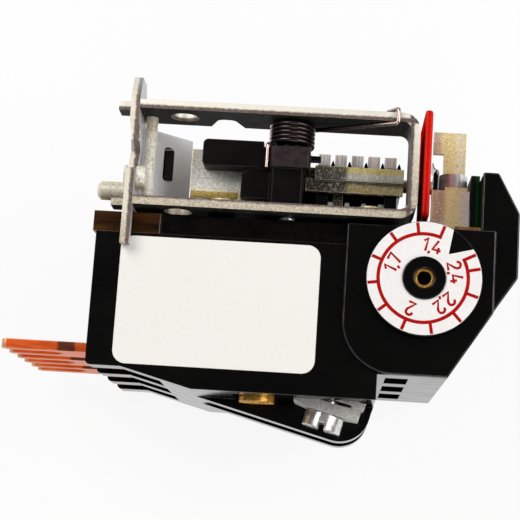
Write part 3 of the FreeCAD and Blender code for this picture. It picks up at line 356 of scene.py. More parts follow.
def sheetSteel(name, look):
    finish, tree, shader, place = startFinish(name)
    mottle = grain(tree, place, look["mottle"], 6, 0.62)
    steep = [maths(tree, "ABSOLUTE", side) for side in facing(tree)]
    edge = strongest(tree, [steep[axis] for axis in look["cutAxes"]])
    edge = risen(tree, edge, look["cutFrom"], look["cutFrom"] + look["cutSoft"])
    tone = blendTones(tree, edge, rolledFace(tree, place, mottle, look), cutFace(tree, place, look))
    # painted shade: the walls of a slot inside the box darkened
    if "slotBox" in look:
        wall = maths(tree, "GREATER_THAN", strongest(tree, steep[1:]), look["wallFrom"])
        slotShade = times(tree, boxed(tree, place, *look["slotBox"]), wall)
        tone = blendTones(tree, slotShade, tone, look["slotShadeTone"])
    tone = banded(tree, place, tone, look)
    # painted shadow: darker towards the low end of x
    if "shadowedEnd" in look:
        shadowedEnd = look["shadowedEnd"]
        endShadow = times(tree, overSpan(tree, axes(tree, place)[0], *shadowedEnd["x"]), shadowedEnd["share"])
        tone = blendTones(tree, endShadow, tone, shadowedEnd["tone"])
    spark = grain(tree, stretched(tree, place, look["sparkRun"]), look["speck"])
    spark = ramp(tree, spark, [(0.54, 0.0), (0.64, 1.0)])
    tone = blendTones(tree, times(tree, spark, look["spark"]), tone, look["sparkTone"])
    fleck = ramp(tree, grain(tree, place, look["speck"] * look["fleckSize"]), [(0.55, 0.0), (0.66, 1.0)])
    tone = blendTones(tree, times(tree, fleck, look["fleck"]), tone, look["fleckTone"])
    dress(tree, shader, tone, spread(tree, mottle, *look["sheen"]))
    shader.inputs["Metallic"].default_value = look["metal"]
    if "underMetal" in look:
        polish = risen(tree, facing(tree)[1], *look["underFrom"], look["metal"], look["underMetal"])
        tree.links.new(polish, shader.inputs["Metallic"])
    shader.inputs["Specular IOR Level"].default_value = look["shine"]
    shader.inputs["Specular Tint"].default_value = (*[look["grazing"]] * 3, 1)
    pressIn(tree, shader, grain(tree, place, look["skin"], 4), look["relief"], look["depth"])
    return finish


zincLook = {
    "mottle": 1.5, "low": (0.30, 0.30, 0.30), "mid": (0.46, 0.46, 0.46), "high": (0.62, 0.62, 0.61),
    "cutLow": (0.36, 0.295, 0.205), "cutMid": (0.60, 0.52, 0.40), "cutHigh": (0.84, 0.77, 0.64),
    "tornLow": (0.085, 0.058, 0.048), "tornHigh": (0.23, 0.17, 0.15), "torn": [], "cutAxes": (2,),
    "fleck": 0.16, "fleckTone": (0.20, 0.17, 0.13), "spark": 0.1, "metal": 0.6, "sheen": (0.30, 0.46),
    "skin": 0.35, "relief": 0.18, "shine": 0.4, "grazing": 0.6, "speck": 0.3, "cutFrom": 0.55,
    "cutSoft": 0.2, "shearRun": (1.0, 1.0, 0.2), "shearGrain": 0.34, "tornGrain": 0.9, "tornReach": 0.6,
    "tornSoft": 0.16, "sparkRun": (1.1, 0.9, 1.0), "sparkTone": (0.93, 0.90, 0.80), "fleckSize": 0.8,
    "underFrom": (-0.35, -0.7), "slant": 0.25, "wallFrom": 0.85, "depth": 0.05,
}
bracketTorn = [(1, 24.3, 25.25), (1, 8.45, 9.1), (0, 24.8, 25.6)]  # axis, low, high
bracketSun = {"y": (12.0, 23.0), "share": 0.9, "tone": (1.0, 0.95, 0.82)}
zincSteel = sheetSteel("zincSteel", {
    **zincLook, "torn": bracketTorn, "sunlit": bracketSun, "low": (0.13, 0.13, 0.13),
    "mid": (0.21, 0.21, 0.21), "high": (0.31, 0.31, 0.30), "metal": 0.5, "sheen": (0.4, 0.55),
    # the bracket's downward faces darker as painted shade
    "under": ((0.018, 0.018, 0.019), (0.044, 0.044, 0.044)), "shine": 0.15, "grazing": 0.15,
})
# a lighter copy for the bracket's rounded edges: painted highlight
zincSteelRimHighlight = sheetSteel("zincSteelRimHighlight", {
    **zincLook, "torn": bracketTorn, "sunlit": bracketSun, "sheen": (0.24, 0.4),
})
hookLook = {
    **zincLook, "torn": [(0, -23.6, -22.5)], "low": (0.50, 0.505, 0.52), "mid": (0.62, 0.625, 0.64),
    "high": (0.74, 0.745, 0.76), "metal": 0.1, "mottle": 4, "fleck": 0.06, "spark": 0.04, "relief": 0.08,
    "glare": {"y": (5.0, 8.0), "tone": (0.93, 0.93, 0.94)},
    "sunlit": {"y": (2.0, 6.0), "share": 0.6, "tone": (0.99, 0.93, 0.78)},
    # the slot's walls take a painted shade
    "slotBox": ((-22.2, -16.2), (14.4, 21.6)), "slotShadeTone": (0.022, 0.021, 0.020), "cutAxes": (1, 2),
    "cutFrom": 0.78,
}
hookZinc = sheetSteel("hookZinc", hookLook)
# a lighter copy for the hook plate's rounded edges: painted highlight
hookZincRimHighlight = sheetSteel("hookZincRimHighlight", {**hookLook, "mid": (0.78, 0.75, 0.69), "high": (0.92, 0.90, 0.85)})
postZinc = sheetSteel("postZinc", {
    **zincLook, "low": (0.66, 0.56, 0.38), "mid": (0.93, 0.88, 0.77), "high": (0.98, 0.97, 0.93),
    "cutLow": (0.66, 0.56, 0.38), "cutMid": (0.94, 0.90, 0.80), "cutHigh": (0.98, 0.97, 0.93),
    "mottle": 0.7, "fleck": 0.7, "fleckTone": (0.45, 0.34, 0.12), "spark": 0.3, "speck": 0.75, "metal": 0.1,
    "across": (1, 0.4, [
        (8.8, (0.95, 0.92, 0.86)), (20.5, (0.93, 0.88, 0.78)),
        (22.5, (0.62, 0.43, 0.20)), (24.8, (0.60, 0.42, 0.20))]),
})
yellowZincLook = {
    **zincLook, "low": (0.33, 0.25, 0.19), "mid": (0.66, 0.54, 0.25), "high": (0.86, 0.80, 0.60),
    "cutLow": (0.46, 0.36, 0.13), "cutMid": (0.72, 0.58, 0.22), "cutHigh": (0.90, 0.84, 0.66),
    "fleck": 0.55, "fleckTone": (0.24, 0.17, 0.07), "spark": 0.7, "sheen": (0.27, 0.45), "relief": 0.3,
    "skin": 0.22, "metal": 0.25, "mottle": 0.8,
}
yellowZinc = sheetSteel("yellowZinc", yellowZincLook)
pinkTone, goldTone, paleTone = (0.50, 0.37, 0.31), (0.94, 0.79, 0.33), (0.95, 0.90, 0.74)
whiteTone, creamTone = (0.98, 0.97, 0.94), (0.98, 0.95, 0.86)
pinLook = {
    **yellowZincLook, "low": (0.46, 0.35, 0.14), "mid": (0.88, 0.78, 0.52), "high": creamTone, "mottle": 0.9,
    "cutLow": (0.46, 0.35, 0.14), "cutMid": (0.90, 0.82, 0.60), "cutHigh": creamTone,
    "speck": 0.7, "fleck": 0.6, "fleckTone": (0.30, 0.20, 0.05), "spark": 0.5, "metal": 0.15,
}
# bands along y: lightest across the middle, darker and browner towards both ends as painted shade
pinZinc = sheetSteel("pinZinc", {**pinLook, "across": (1, 0.45, [
    (9.3, (0.62, 0.46, 0.20)), (10.2, (0.94, 0.88, 0.72)), (11.5, creamTone), (12.7, (0.80, 0.66, 0.30))])})
rivetZinc = sheetSteel("rivetZinc", {**pinLook, "across": (1, 0.6, [
    (10.5, (0.75, 0.62, 0.36)), (11.5, whiteTone), (13.8, whiteTone), (14.7, (0.66, 0.50, 0.24))])})
# the pink-brown of the terminal's left part
pinkBrownTone = (0.46, 0.32, 0.25)
lowerZinc = sheetSteel("lowerZinc", {
    **yellowZincLook, "low": (0.52, 0.42, 0.30), "mid": (0.95, 0.83, 0.46), "high": (0.99, 0.96, 0.84),
    "fleck": 0.4, "metal": 0.05,
    # bands along x: white at both ends as painted highlights on the edges, pink-brown and gold between
    "across": (0, 0.72, [
        (29.4, whiteTone), (30.1, pinkBrownTone), (31.7, pinkBrownTone), (32.5, (1.0, 0.86, 0.38)),
        (34.6, (1.0, 0.88, 0.46)), (35.4, whiteTone), (35.9, whiteTone)]),
})
# bands along x: pink, then gold, with a pale band at the rounded bend as painted highlight
upperZinc = sheetSteel("upperZinc", {**yellowZincLook, "across": (0, 0.66, [
    (30.0, pinkTone), (31.2, pinkTone), (32.0, goldTone), (34.0, goldTone), (35.0, paleTone),
    (36.3, goldTone)])})
stopZinc = sheetSteel("stopZinc", {
    **yellowZincLook, "low": (0.30, 0.27, 0.22), "mid": (0.68, 0.64, 0.55), "high": (0.93, 0.90, 0.82),
    "cutLow": (0.30, 0.19, 0.03), "cutMid": (0.66, 0.46, 0.10), "cutHigh": (0.92, 0.78, 0.36),
    "cutAxes": (1,), "mottle": 0.5, "underMetal": 0.9,
    # bands along y: dark gold low down, then gold, a white band above the lip as painted highlight, grey and
    # pale higher up
    "across": (1, 0.45, [
        (8.8, (0.42, 0.27, 0.03)), (11.2, (0.50, 0.33, 0.05)), (11.6, goldTone),
        (12.4, whiteTone), (14.0, (0.60, 0.60, 0.60)), (20.0, paleTone)]),
})
lipZinc = sheetSteel("lipZinc", {
    **yellowZincLook, "low": (0.20, 0.12, 0.015), "mid": (0.52, 0.36, 0.07), "high": (0.80, 0.66, 0.26),
    "cutLow": (0.16, 0.09, 0.012), "cutMid": (0.50, 0.34, 0.06), "cutHigh": (0.82, 0.68, 0.28),
    "speck": 0.4, "spark": 0.3, "fleck": 0.6, "fleckTone": (0.10, 0.06, 0.01),
    # bands along y: gold, then white at the top as painted highlight
    "across": (1, 0.6, [
        (10.5, (0.30, 0.20, 0.03)), (11.7, (0.52, 0.36, 0.07)), (11.95, whiteTone), (12.3, whiteTone)]),
})
barZinc = sheetSteel("barZinc", {
    **yellowZincLook, "low": (0.20, 0.18, 0.13), "mid": (0.50, 0.44, 0.28), "high": (0.80, 0.77, 0.68),
    "cutAxes": (0,), "spark": 0.42, "speck": 0.36,
    # painted shadow over the bar's left end
    "shadowedEnd": {"x": (14.8, 13.9), "share": 0.9, "tone": (0.022, 0.022, 0.022)},
    # bands along y: the lower step and the line between the steps darker as painted shade, the gold the
    # plating's own
    "across": (1, 0.75, [
        (13.4, (0.40, 0.27, 0.06)), (14.6, (0.34, 0.24, 0.07)), (15.3, (0.05, 0.045, 0.04)),
        (15.8, (0.62, 0.60, 0.55)), (16.8, (0.66, 0.62, 0.52)), (17.0, (0.86, 0.64, 0.16)),
        (18.0, (0.90, 0.72, 0.26))]),
})
# a lighter copy for the bar's rounded edges: painted highlight, darker towards the left end as painted shadow
barRimHighlight = sheetSteel("barRimHighlight", {
    **yellowZincLook, "low": (0.55, 0.52, 0.46), "mid": (0.85, 0.82, 0.75), "high": (0.96, 0.95, 0.92),
    "across": (0, 0.45, [
        (6.5, (0.30, 0.30, 0.30)), (13.4, (0.35, 0.35, 0.34)), (14.4, paleTone), (23.6, paleTone)]),
})
print("sheet finishes mixed")


# turned, drawn and stamped metal, with a brushed grain
metalLook = {"spotGrain": 0.45, "depth": 0.05}


def plainMetal(name, look):
    finish, tree, shader, place = startFinish(name)
    turned = grain(tree, stretched(tree, place, look["brush"]), look["mottle"], 5, 0.6)
    tone = ramp(tree, turned, [(0.3, look["low"]), (0.55, look["mid"]), (0.75, look["high"])])
    tone = banded(tree, place, tone, look)
    if "stain" in look:
        stain = look["stain"]
        where = ragged(tree, axes(tree, place)[0], place, stain["grain"], 3, 0.55, stain["reach"])
        patch = between(tree, where, *stain["x"], stain["soft"])
        patch = times(tree, patch, risen(tree, facing(tree)[2], *stain["front"]))
        tone = blendTones(tree, times(tree, patch, stain["share"]), tone, stain["tone"])
    spot = ramp(tree, grain(tree, place, look["spotGrain"]), [(0.62, 0.0), (0.74, 1.0)])
    tone = blendTones(tree, times(tree, spot, look["spots"]), tone, look["low"])
    # painted shade: a dark disc over the socket in the top
    if "bore" in look:
        bore = look["bore"]
        x, y, z = axes(tree, place)
        middleX, middleY = bore["middle"]
        offX = maths(tree, "SUBTRACT", x, middleX * mm)
        offY = maths(tree, "SUBTRACT", y, middleY * mm)
        away = maths(tree, "SQRT", maths(tree, "ADD", times(tree, offX, offX), times(tree, offY, offY)))
        inside = overSpan(tree, away, bore["radius"] + bore["soft"], bore["radius"] - bore["soft"])
        tone = blendTones(tree, inside, tone, bore["tone"])
    dress(tree, shader, tone, spread(tree, turned, *look["sheen"]))
    shader.inputs["Metallic"].default_value = look["metal"]
    shader.inputs["Specular Tint"].default_value = (*look["tint"], 1)
    pressIn(tree, shader, turned, look["relief"], look["depth"])
    return finish


bareCopper = {
    **metalLook, "spots": 0.4, "metal": 0.3, "tint": (1.0, 0.86, 0.66), "sheen": (0.26, 0.42), "relief": 0.12,
}
copperStain = {
    "x": (-35.0, -31.9), "soft": 0.25, "grain": 1.6, "reach": 1.2, "front": (0.4, 0.8), "share": 0.9,
    "tone": (0.060, 0.014, 0.010),
}
copperTone = (0.82, 0.105, 0.010)
copperLook = {
    **bareCopper, "brush": (0.18, 1, 1), "mottle": 0.9, "low": (0.44, 0.045, 0.006), "mid": copperTone,
    "high": (0.97, 0.30, 0.07), "stain": copperStain,
    # bands along x: cream at the prong tips as painted highlight
    "across": (0, 0.5, [
        (-45.2, (0.99, 0.78, 0.55)), (-44.3, (0.99, 0.70, 0.42)), (-44.0, copperTone), (-9, copperTone)]),
}
copper = plainMetal("copper", copperLook)
# a lighter copy for the prongs' rounded edges: painted highlight
copperRimHighlight = plainMetal("copperRimHighlight", {
    **copperLook, "low": (0.72, 0.26, 0.09), "mid": (0.90, 0.43, 0.18), "high": (0.97, 0.66, 0.38),
    "spots": 0.12,
})
browned = plainMetal("browned", {
    **bareCopper, "brush": (1, 1, 1), "mottle": 0.5, "low": (0.10, 0.032, 0.012), "mid": (0.24, 0.085, 0.032),
    "high": (0.42, 0.18, 0.075),
})
brassLook = {
    **metalLook, "brush": (1, 1, 1), "mottle": 0.7, "low": (0.46, 0.20, 0.030), "mid": (0.80, 0.42, 0.075),
    "high": (0.95, 0.66, 0.22), "spots": 0.25, "metal": 0.7, "tint": (1.0, 0.9, 0.7), "sheen": (0.2, 0.36),
    "relief": 0.08,
}
brass = plainMetal("brass", brassLook)
# painted shade in the spindle's socket
spindleBoreShade = {"middle": (28.4, -3.2), "radius": 1.25, "soft": 0.06, "tone": (0.010, 0.006, 0.003)}
spindleBrass = plainMetal("spindleBrass", {**brassLook, "bore": spindleBoreShade})
nickelLook = {
    **metalLook, "brush": (1, 1, 0.3), "mottle": 0.8, "low": (0.56, 0.53, 0.49), "mid": (0.80, 0.78, 0.75),
    "high": (0.93, 0.92, 0.90), "spots": 0.08, "metal": 0.7, "tint": (1.0, 1.0, 1.0), "sheen": (0.14, 0.28),
    "relief": 0.03,
}
nickel = plainMetal("nickel", nickelLook)
gleam = (0.95, 0.95, 0.93)
contactNickelReflection = plainMetal("contactNickelReflection", {
    **nickelLook, "brush": (0.25, 1, 1), "low": (0.30, 0.27, 0.25), "mid": (0.58, 0.54, 0.50), "metal": 0.25,
    "sheen": (0.3, 0.5),
    # bands along x: dark, beige, violet and white stripes, a painted reflection
    "across": (0, 0.7, [
        (31.2, (0.02, 0.02, 0.02)), (32.5, (0.04, 0.035, 0.04)), (33.2, (0.50, 0.44, 0.38)),
        (34.3, (0.40, 0.34, 0.36)), (34.8, (0.08, 0.06, 0.11)), (35.2, gleam), (36.4, gleam)]),
})
clampSteel = plainMetal("clampSteel", {
    **nickelLook, "low": (0.46, 0.45, 0.41), "mid": (0.66, 0.65, 0.61), "high": (0.86, 0.84, 0.80),
    "metal": 0.2, "sheen": (0.4, 0.55), "mottle": 0.5,
})
wireDark, wireGlint = (0.055, 0.040, 0.038), (0.62, 0.47, 0.42)
springWire = plainMetal("springWire", {
    **nickelLook, "low": (0.05, 0.036, 0.034), "mid": (0.09, 0.066, 0.062), "high": (0.15, 0.115, 0.108),
    "spots": 0.1, "metal": 0.9, "sheen": (0.2, 0.3),
    # bands along x: the straight foot and hook light as painted highlight, the coil dark
    "across": (0, 0.85, [
        (-0.4, wireGlint), (0.35, wireGlint), (0.6, wireDark), (10, wireDark),
        (18, (0.30, 0.22, 0.20)), (23.1, wireGlint)]),
})
bimetal = plainMetal("bimetal", {
    **nickelLook, "brush": (1, 0.15, 1), "low": (0.30, 0.27, 0.23), "mid": (0.46, 0.43, 0.38),
    "high": (0.60, 0.57, 0.52), "sheen": (0.3, 0.45),
})
heaterWire = plainMetal("heaterWire", {
    **nickelLook, "brush": (1, 0.4, 1), "low": (0.14, 0.12, 0.10), "mid": (0.26, 0.23, 0.20),
    "high": (0.40, 0.36, 0.30), "spots": 0.4, "metal": 0.8, "sheen": (0.4, 0.6),
})


# coloured plastic, board, film and ink
def colouredPlastic(name, look):
    finish, tree, shader, place = startFinish(name)
    fine = grain(tree, place, look["grain"], 4, 0.62)
    tone = ramp(tree, fine, [(0.3, look["low"]), (0.55, look["mid"]), (0.74, look["high"])])
    broad = ramp(tree, grain(tree, place, look["broad"]), [(0.35, 0.0), (0.7, 1.0)])
    tone = blendTones(tree, times(tree, broad, look["fade"]), tone, look["faded"])
    dress(tree, shader, banded(tree, place, tone, look), spread(tree, fine, *look["sheen"]))
    shader.inputs["Specular IOR Level"].default_value = look["shine"]
    pressIn(tree, shader, fine, look["relief"], look["depth"])
    return finish


redPlasticLook = {
    "grain": 0.34, "broad": 4, "low": (0.42, 0.003, 0.002), "mid": (0.64, 0.006, 0.003),
    "high": (0.86, 0.040, 0.012), "fade": 0.3, "faded": (0.50, 0.004, 0.002),
    "sheen": (0.42, 0.6), "shine": 0.0, "relief": 0.3, "depth": 0.06,
    # bands along y: darker towards the paddle's lower end as painted shade
    "across": (1, 0.45, [
        (7.8, (0.22, 0.002, 0.002)), (10.5, (0.42, 0.003, 0.002)), (14, (0.72, 0.008, 0.003)),
        (28, (0.80, 0.012, 0.005))]),
}
redPlastic = colouredPlastic("redPlastic", redPlasticLook)
# a lighter, glossier copy for the rounded edges: painted highlight
redPlasticRimHighlight = colouredPlastic("redPlasticRimHighlight", {
    **redPlasticLook, "mid": (0.70, 0.014, 0.006), "high": (0.90, 0.10, 0.04), "shine": 0.2,
})
boardLook = {
    "grain": 0.5, "broad": 3, "low": (0.001, 0.008, 0.002), "mid": (0.002, 0.019, 0.004),
    "high": (0.006, 0.046, 0.010), "fade": 0.5, "faded": (0.001, 0.007, 0.002),
    "sheen": (0.3, 0.5), "shine": 0.1, "relief": 0.2, "depth": 0.06,
}
greenBoard = colouredPlastic("greenBoard", {**boardLook, "across": (0, 0.8, [
    (36.7, (0.0012, 0.0020, 0.0012)), (37.5, (0.0012, 0.0030, 0.0014)), (37.8, (0.003, 0.040, 0.007)),
    (38.3, (0.003, 0.034, 0.006))])})
innerPlastic = colouredPlastic("innerPlastic", {
    **boardLook, "low": (0.10, 0.085, 0.06), "mid": (0.17, 0.15, 0.11), "high": (0.26, 0.235, 0.18),
    "faded": (0.13, 0.11, 0.08),
})
labelLook = {
    "grain": 0.5, "broad": 11, "low": (0.915, 0.885, 0.835), "mid": (0.94, 0.915, 0.87),
    "high": (0.955, 0.935, 0.895), "fade": 0.5, "faded": (0.92, 0.885, 0.835),
    "sheen": (0.34, 0.46), "shine": 0.3, "relief": 0.05, "depth": 0.06,
}
labelFilm = colouredPlastic("labelFilm", labelLook)
# a darker copy for the label's rounded edge: painted shade
labelFilmRimShade = colouredPlastic("labelFilmRimShade", {
    **labelLook, "low": (0.66, 0.61, 0.54), "mid": (0.76, 0.71, 0.64), "broad": 3, "fade": 0.7,
})
dialWhite = colouredPlastic("dialWhite", {
    **labelLook, "grain": 0.9, "broad": 6, "low": (0.90, 0.865, 0.835), "mid": (0.94, 0.915, 0.895),
    "high": (0.96, 0.945, 0.93), "faded": (0.88, 0.835, 0.80), "sheen": (0.28, 0.4),
})
redPrint = colouredPlastic("redPrint", {
    **labelLook, "grain": 0.25, "low": (0.36, 0.003, 0.003), "mid": (0.45, 0.004, 0.004),
    "high": (0.54, 0.010, 0.008), "faded": (0.40, 0.003, 0.003), "shine": 0.1,
})
print("finishes mixed:", len(bpy.data.materials))


# tools for pieces
weld = 1e-6  # metres between corners that count as one
flat = 0.4  # degrees between faces that count as one
roundFrom, sharpFrom = 28, 38  # degrees from which an edge is rounded, and from which it stays a line


def pieceFrom(name, mesh, finishes):
    piece = bpy.data.objects.new(name, mesh)
    scene.collection.objects.link(piece)
    for finish in finishes:
        mesh.materials.append(finish)
    return piece


def meshFrom(work, name):
    mesh = bpy.data.meshes.new(name)
    work.to_mesh(mesh)
    work.free()
    for polygon in mesh.polygons:
        polygon.use_smooth = True
    mesh.set_sharp_from_angle(angle=math.radians(sharpFrom))
    return mesh


def corners(points, left=0.0):
    return [Vector((left + x, y, 0)) * mm for x, y in points]


def skinRings(work, rings):
    # walls from ring to ring, with both ends closed
    count = len(rings[0])
    for low, high in zip(rings, rings[1:]):
        for step in range(count):
            after = (step + 1) % count
            work.faces.new((low[step], low[after], high[after], high[step]))
    work.faces.new(rings[0][::-1])
    work.faces.new(rings[-1])


def raisedSolid(work, outline, low, high):
    # an outline of (x, y) corners in metres, from low to high in millimetres
    skinRings(work, [[work.verts.new((p.x, p.y, z * mm)) for p in outline] for z in (low, high)])


def penStroke(line, half, least=0.8):
    # outline of a stroke, half a pen wide on each side, its mitres cut short below the least cosine
    left, right = [], []
    for step, here in enumerate(line):
        back = (here - line[step - 1]).normalized() if step else None
        on = (line[step + 1] - here).normalized() if step + 1 < len(line) else None
        along = ((back or on) + (on or back)).normalized()
        across = Vector((-along.y, along.x, 0))
        grow = 1.0 / max(least, along.dot(on or back))
        left.append(here + across * half * grow)
        right.append(here - across * half * grow)
    return right + left[::-1]


def newPiece(work, name, body, look):
    # a piece of its own, with no CAD node behind it
    bmesh.ops.recalc_face_normals(work, faces=work.faces)
    piece = pieceFrom(name, meshFrom(work, name), look["finish"])
    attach(piece, body)


def openCopy(node):
    # the node's solid as clean flat faces, ready to work on
    work = bmesh.new()
    work.from_mesh(frame["nodes"][node].data)
    bmesh.ops.remove_doubles(work, verts=work.verts, dist=weld)
    bmesh.ops.dissolve_limit(work, angle_limit=math.radians(flat), verts=work.verts, edges=work.edges)
    for face in work.faces:
        face.material_index = 0
    return work


def sliced(work, spots, across):
    # rows of corners for a bend to follow
    for spot in spots:
        everything = work.verts[:] + work.edges[:] + work.faces[:]
        bmesh.ops.bisect_plane(work, geom=everything, plane_co=spot, plane_no=across, dist=weld)


def roundEdges(work, look):
    # the rounding takes the second finish, where there is one, mostly a lighter copy as painted highlight, on
    # the label a darker one as painted shade
    least = math.radians(look.get("roundFrom", roundFrom))
    sharp = [e for e in work.edges if len(e.link_faces) == 2 and e.calc_face_angle(0) > least]
    bmesh.ops.bevel(work, geom=sharp, offset=look["edge"] * mm, offset_type="OFFSET",
                    segments=look.get("steps", 2), profile=0.5, affect="EDGES",
                    clamp_overlap=look.get("clamp", True), loop_slide=True,
                    material=1 if len(look["finish"]) > 1 else 0)


def closeCopy(work, node, look):
    # the copy's rounded edges take the second finish, mostly painted highlight
    piece = pieceFrom(node + "_reworked", meshFrom(work, node + "_reworked"), look["finish"])
    piece.modifiers.new("evenShading", "WEIGHTED_NORMAL").keep_sharp = True
    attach(piece, frame["nodes"][node]["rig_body"])
    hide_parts(node)


def softened(parts):
    for node, look in parts.items():
        work = openCopy(node)
        roundEdges(work, look)
        closeCopy(work, node, look)


def coat(edge, slot, *finishes, **more):
    # the rounding in millimetres, the slot, and the finishes of the faces and of the rounding
    return {"edge": edge, "slot": slot, "finish": finishes, **more}


mouldings = {
    "housing": coat(0.28, "black_gloss", glossBlack, glossBlackRimHighlight),
    "housing_cover": coat(0.22, "brown_band", brownBand, brownBandRimHighlight),
    "mechanism_housing": coat(0.25, "black_gloss", glossBlack, glossBlackRimHighlight),
    "mechanism_cover": coat(0.35, "black_gloss", glossBlack, coverRimHighlight),
    "contact_block": coat(0.35, "black_gloss", glossBlack, glossBlackRimHighlight),
    "bar_carrier": coat(0.15, "black_matte", finBlack),
    "reset_paddle": coat(0.42, "red_plastic", redPlastic, redPlasticRimHighlight, roundFrom=50, steps=3, clamp=False),
    "insulator_strip": coat(0.15, "green_board", greenBoard),
    "dial_knob": coat(0.16, "black_gloss", glossBlack, glossBlackRimHighlight),
    "dial_scale": coat(0.06, "white_print", dialWhite),
    "rating_label": coat(0.06, "label_white", labelFilm, labelFilmRimShade),
}
softened(mouldings)
print("mouldings softened")

sheetParts = {
    "bracket": coat(0.14, "zinc_steel", zincSteel, zincSteelRimHighlight),
    "stop_plate": coat(0.12, "zinc_steel", stopZinc, yellowZinc),
    "trip_bar": coat(0.13, "zinc_steel", barZinc, barRimHighlight),
    "lower_contact_terminal": coat(0.12, "zinc_steel", lowerZinc),
    "upper_contact_terminal": coat(0.12, "zinc_steel", upperZinc),
    **{"contact_prong_%d" % pole: coat(0.15, "copper", copper, copperRimHighlight) for pole in poles},
    **{"load_terminal_%d" % pole: coat(0.1, "grey_steel", clampSteel, nickel) for pole in poles},
    "contact_strip": coat(0.12, "brass_screw", browned),
}
softened(sheetParts)
print("sheet parts softened")

turnedParts = {
    "terminal_screws": coat(0.16, "bright_steel", nickel),
    "bimetal_screws": coat(0.16, "brass_screw", brass),
    "bracket_screws": coat(0.14, "zinc_steel", yellowZinc, zincSteelRimHighlight),
    "contact_screw": coat(0.16, "brass_screw", contactNickelReflection),
    "locating_pin": coat(0.45, "bright_steel", pinZinc),
    "hook_rivet": coat(0.25, "bright_steel", rivetZinc),
    "dial_spindle": coat(0.12, "brass_screw", spindleBrass),
}
softened(turnedParts)
print("turned parts softened")

# reset lever: the nub under the arm reaches lower than in the solid
leverLook = {
    "nub": 11.0, "lower": 10.1, "near": 0.01, "edge": 0.22, "finish": (leverBlack, leverBlackRimHighlight),
    "slot": "black_matte",
}


def nubbedLever(look):
    work = openCopy("reset_lever")
    for corner in work.verts:
        if abs(corner.co.y - look["nub"] * mm) < look["near"] * mm:
            corner.co.y = look["lower"] * mm
    roundEdges(work, look)
    closeCopy(work, "reset_lever", look)


nubbedLever(leverLook)
print("lever nub lowered")

# lever pin: the lower end is peened over, smaller than the head on top
leverPinLook = {
    "axis": (4.1, 43.7), "leg": 7.25, "peen": 0.62, "edge": 0.2, "finish": (nickel,), "slot": "bright_steel",
}


def peenedPin(look):
    work = openCopy("lever_pin")
    px, pz = look["axis"][0] * mm, look["axis"][1] * mm
    for corner in work.verts:
        if corner.co.y < look["leg"] * mm:
            corner.co.x = px + (corner.co.x - px) * look["peen"]
            corner.co.z = pz + (corner.co.z - pz) * look["peen"]
    roundEdges(work, look)
    closeCopy(work, "lever_pin", look)


peenedPin(leverPinLook)
print("lever pin peened")

# pieces deep inside keep their CAD mesh and get a finish
insideFinish = {
    **{"bimetal_strip_%d" % pole: bimetal for pole in poles}, "compensating_strip": bimetal,
    **{"heater_winding_%d" % pole: heaterWire for pole in poles},
    "setting_cam": innerPlastic, "trip_slide": innerPlastic,
}
for node, finish in insideFinish.items():
    for holder in frame["nodes"][node].material_slots:
        holder.material = finish
print("inside pieces finished")


# wire clamps, bowed towards the strap at both ends
clampLook = {
    "seat": (12.78, -26.41), "slope": 14.5, "sag": 0.5, "half": 6.0, "rows": 5, "pitch": 1.05, "edge": 0.14,
    "roundFrom": 45, "finish": (clampSteel,), "slot": "grey_steel",
}


def bowedClamps(look):
    work = openCopy("wire_clamps")
    slope = math.radians(look["slope"])
    along = Vector((math.cos(slope), -math.sin(slope), 0))
    inward = Vector((math.sin(slope), math.cos(slope), 0))
    seat = Vector((*look["seat"], 0)) * mm
    rows = range(-look["rows"], look["rows"] + 1)
    sliced(work, [seat + along * (step * look["pitch"] * mm) for step in rows], along)
    for corner in work.verts:
        u = (corner.co - seat).dot(along) / (look["half"] * mm)
        corner.co += inward * (look["sag"] * mm * u * u)
    roundEdges(work, look)
    closeCopy(work, "wire_clamps", look)


bowedClamps(clampLook)
print("wire clamps bowed")


# hook plate, pressed a little to the right between the bracket's legs
hookPlateLook = {
    "set": 0.55, "peak": 19.0, "reach": 4.2, "rows": 6, "back": 38.7, "front": 48.7, "edge": 0.14,
    "roundFrom": 45, "finish": (hookZinc, hookZincRimHighlight), "slot": "zinc_steel",
}


def setHookPlate(look):
    work = openCopy("hook_plate")
    rows = range(-look["rows"], look["rows"] + 1)
    heights = [look["peak"] + step * look["reach"] / look["rows"] for step in rows]
    sliced(work, [Vector((0, y, 0)) * mm for y in heights], Vector((0, 1, 0)))
    for corner in work.verts:
        off = (corner.co.y / mm - look["peak"]) / look["reach"]
        out = (corner.co.z / mm - look["back"]) / (look["front"] - look["back"])
        if abs(off) < 1 and out > 0:
            corner.co.x += look["set"] * mm * out * (0.5 + 0.5 * math.cos(math.pi * off))
    roundEdges(work, look)
    closeCopy(work, "hook_plate", look)


setHookPlate(hookPlateLook)
print("hook plate set")


# turned lip under the stop plate's face, a little rippled; the profile is in (z, y)
lipLook = {
    "left": -13.6, "right": -5.1, "steps": 14, "ripple": 0.03, "waves": 9.0, "root": 12.3,
    "profile": [(41.10, 12.30), (41.48, 12.30), (41.53, 12.10), (41.50, 10.78), (41.40, 10.56),
                (41.18, 10.50), (41.08, 10.62), (41.06, 11.40)],
    "finish": (lipZinc,), "slot": "zinc_steel",
}


def turnedLip(look):
    work = bmesh.new()
    rings = []
    for step in range(look["steps"] + 1):
        share = step / look["steps"]
        x = look["left"] + (look["right"] - look["left"]) * share
        droop = look["ripple"] * math.sin(share * look["waves"])
        rings.append([work.verts.new((x * mm, (y + droop * (look["root"] - y)) * mm, z * mm))
                      for z, y in look["profile"]])
    skinRings(work, rings)
    newPiece(work, "stop_plate_lip", "base", look)


turnedLip(lipLook)
print("stop plate lip turned")


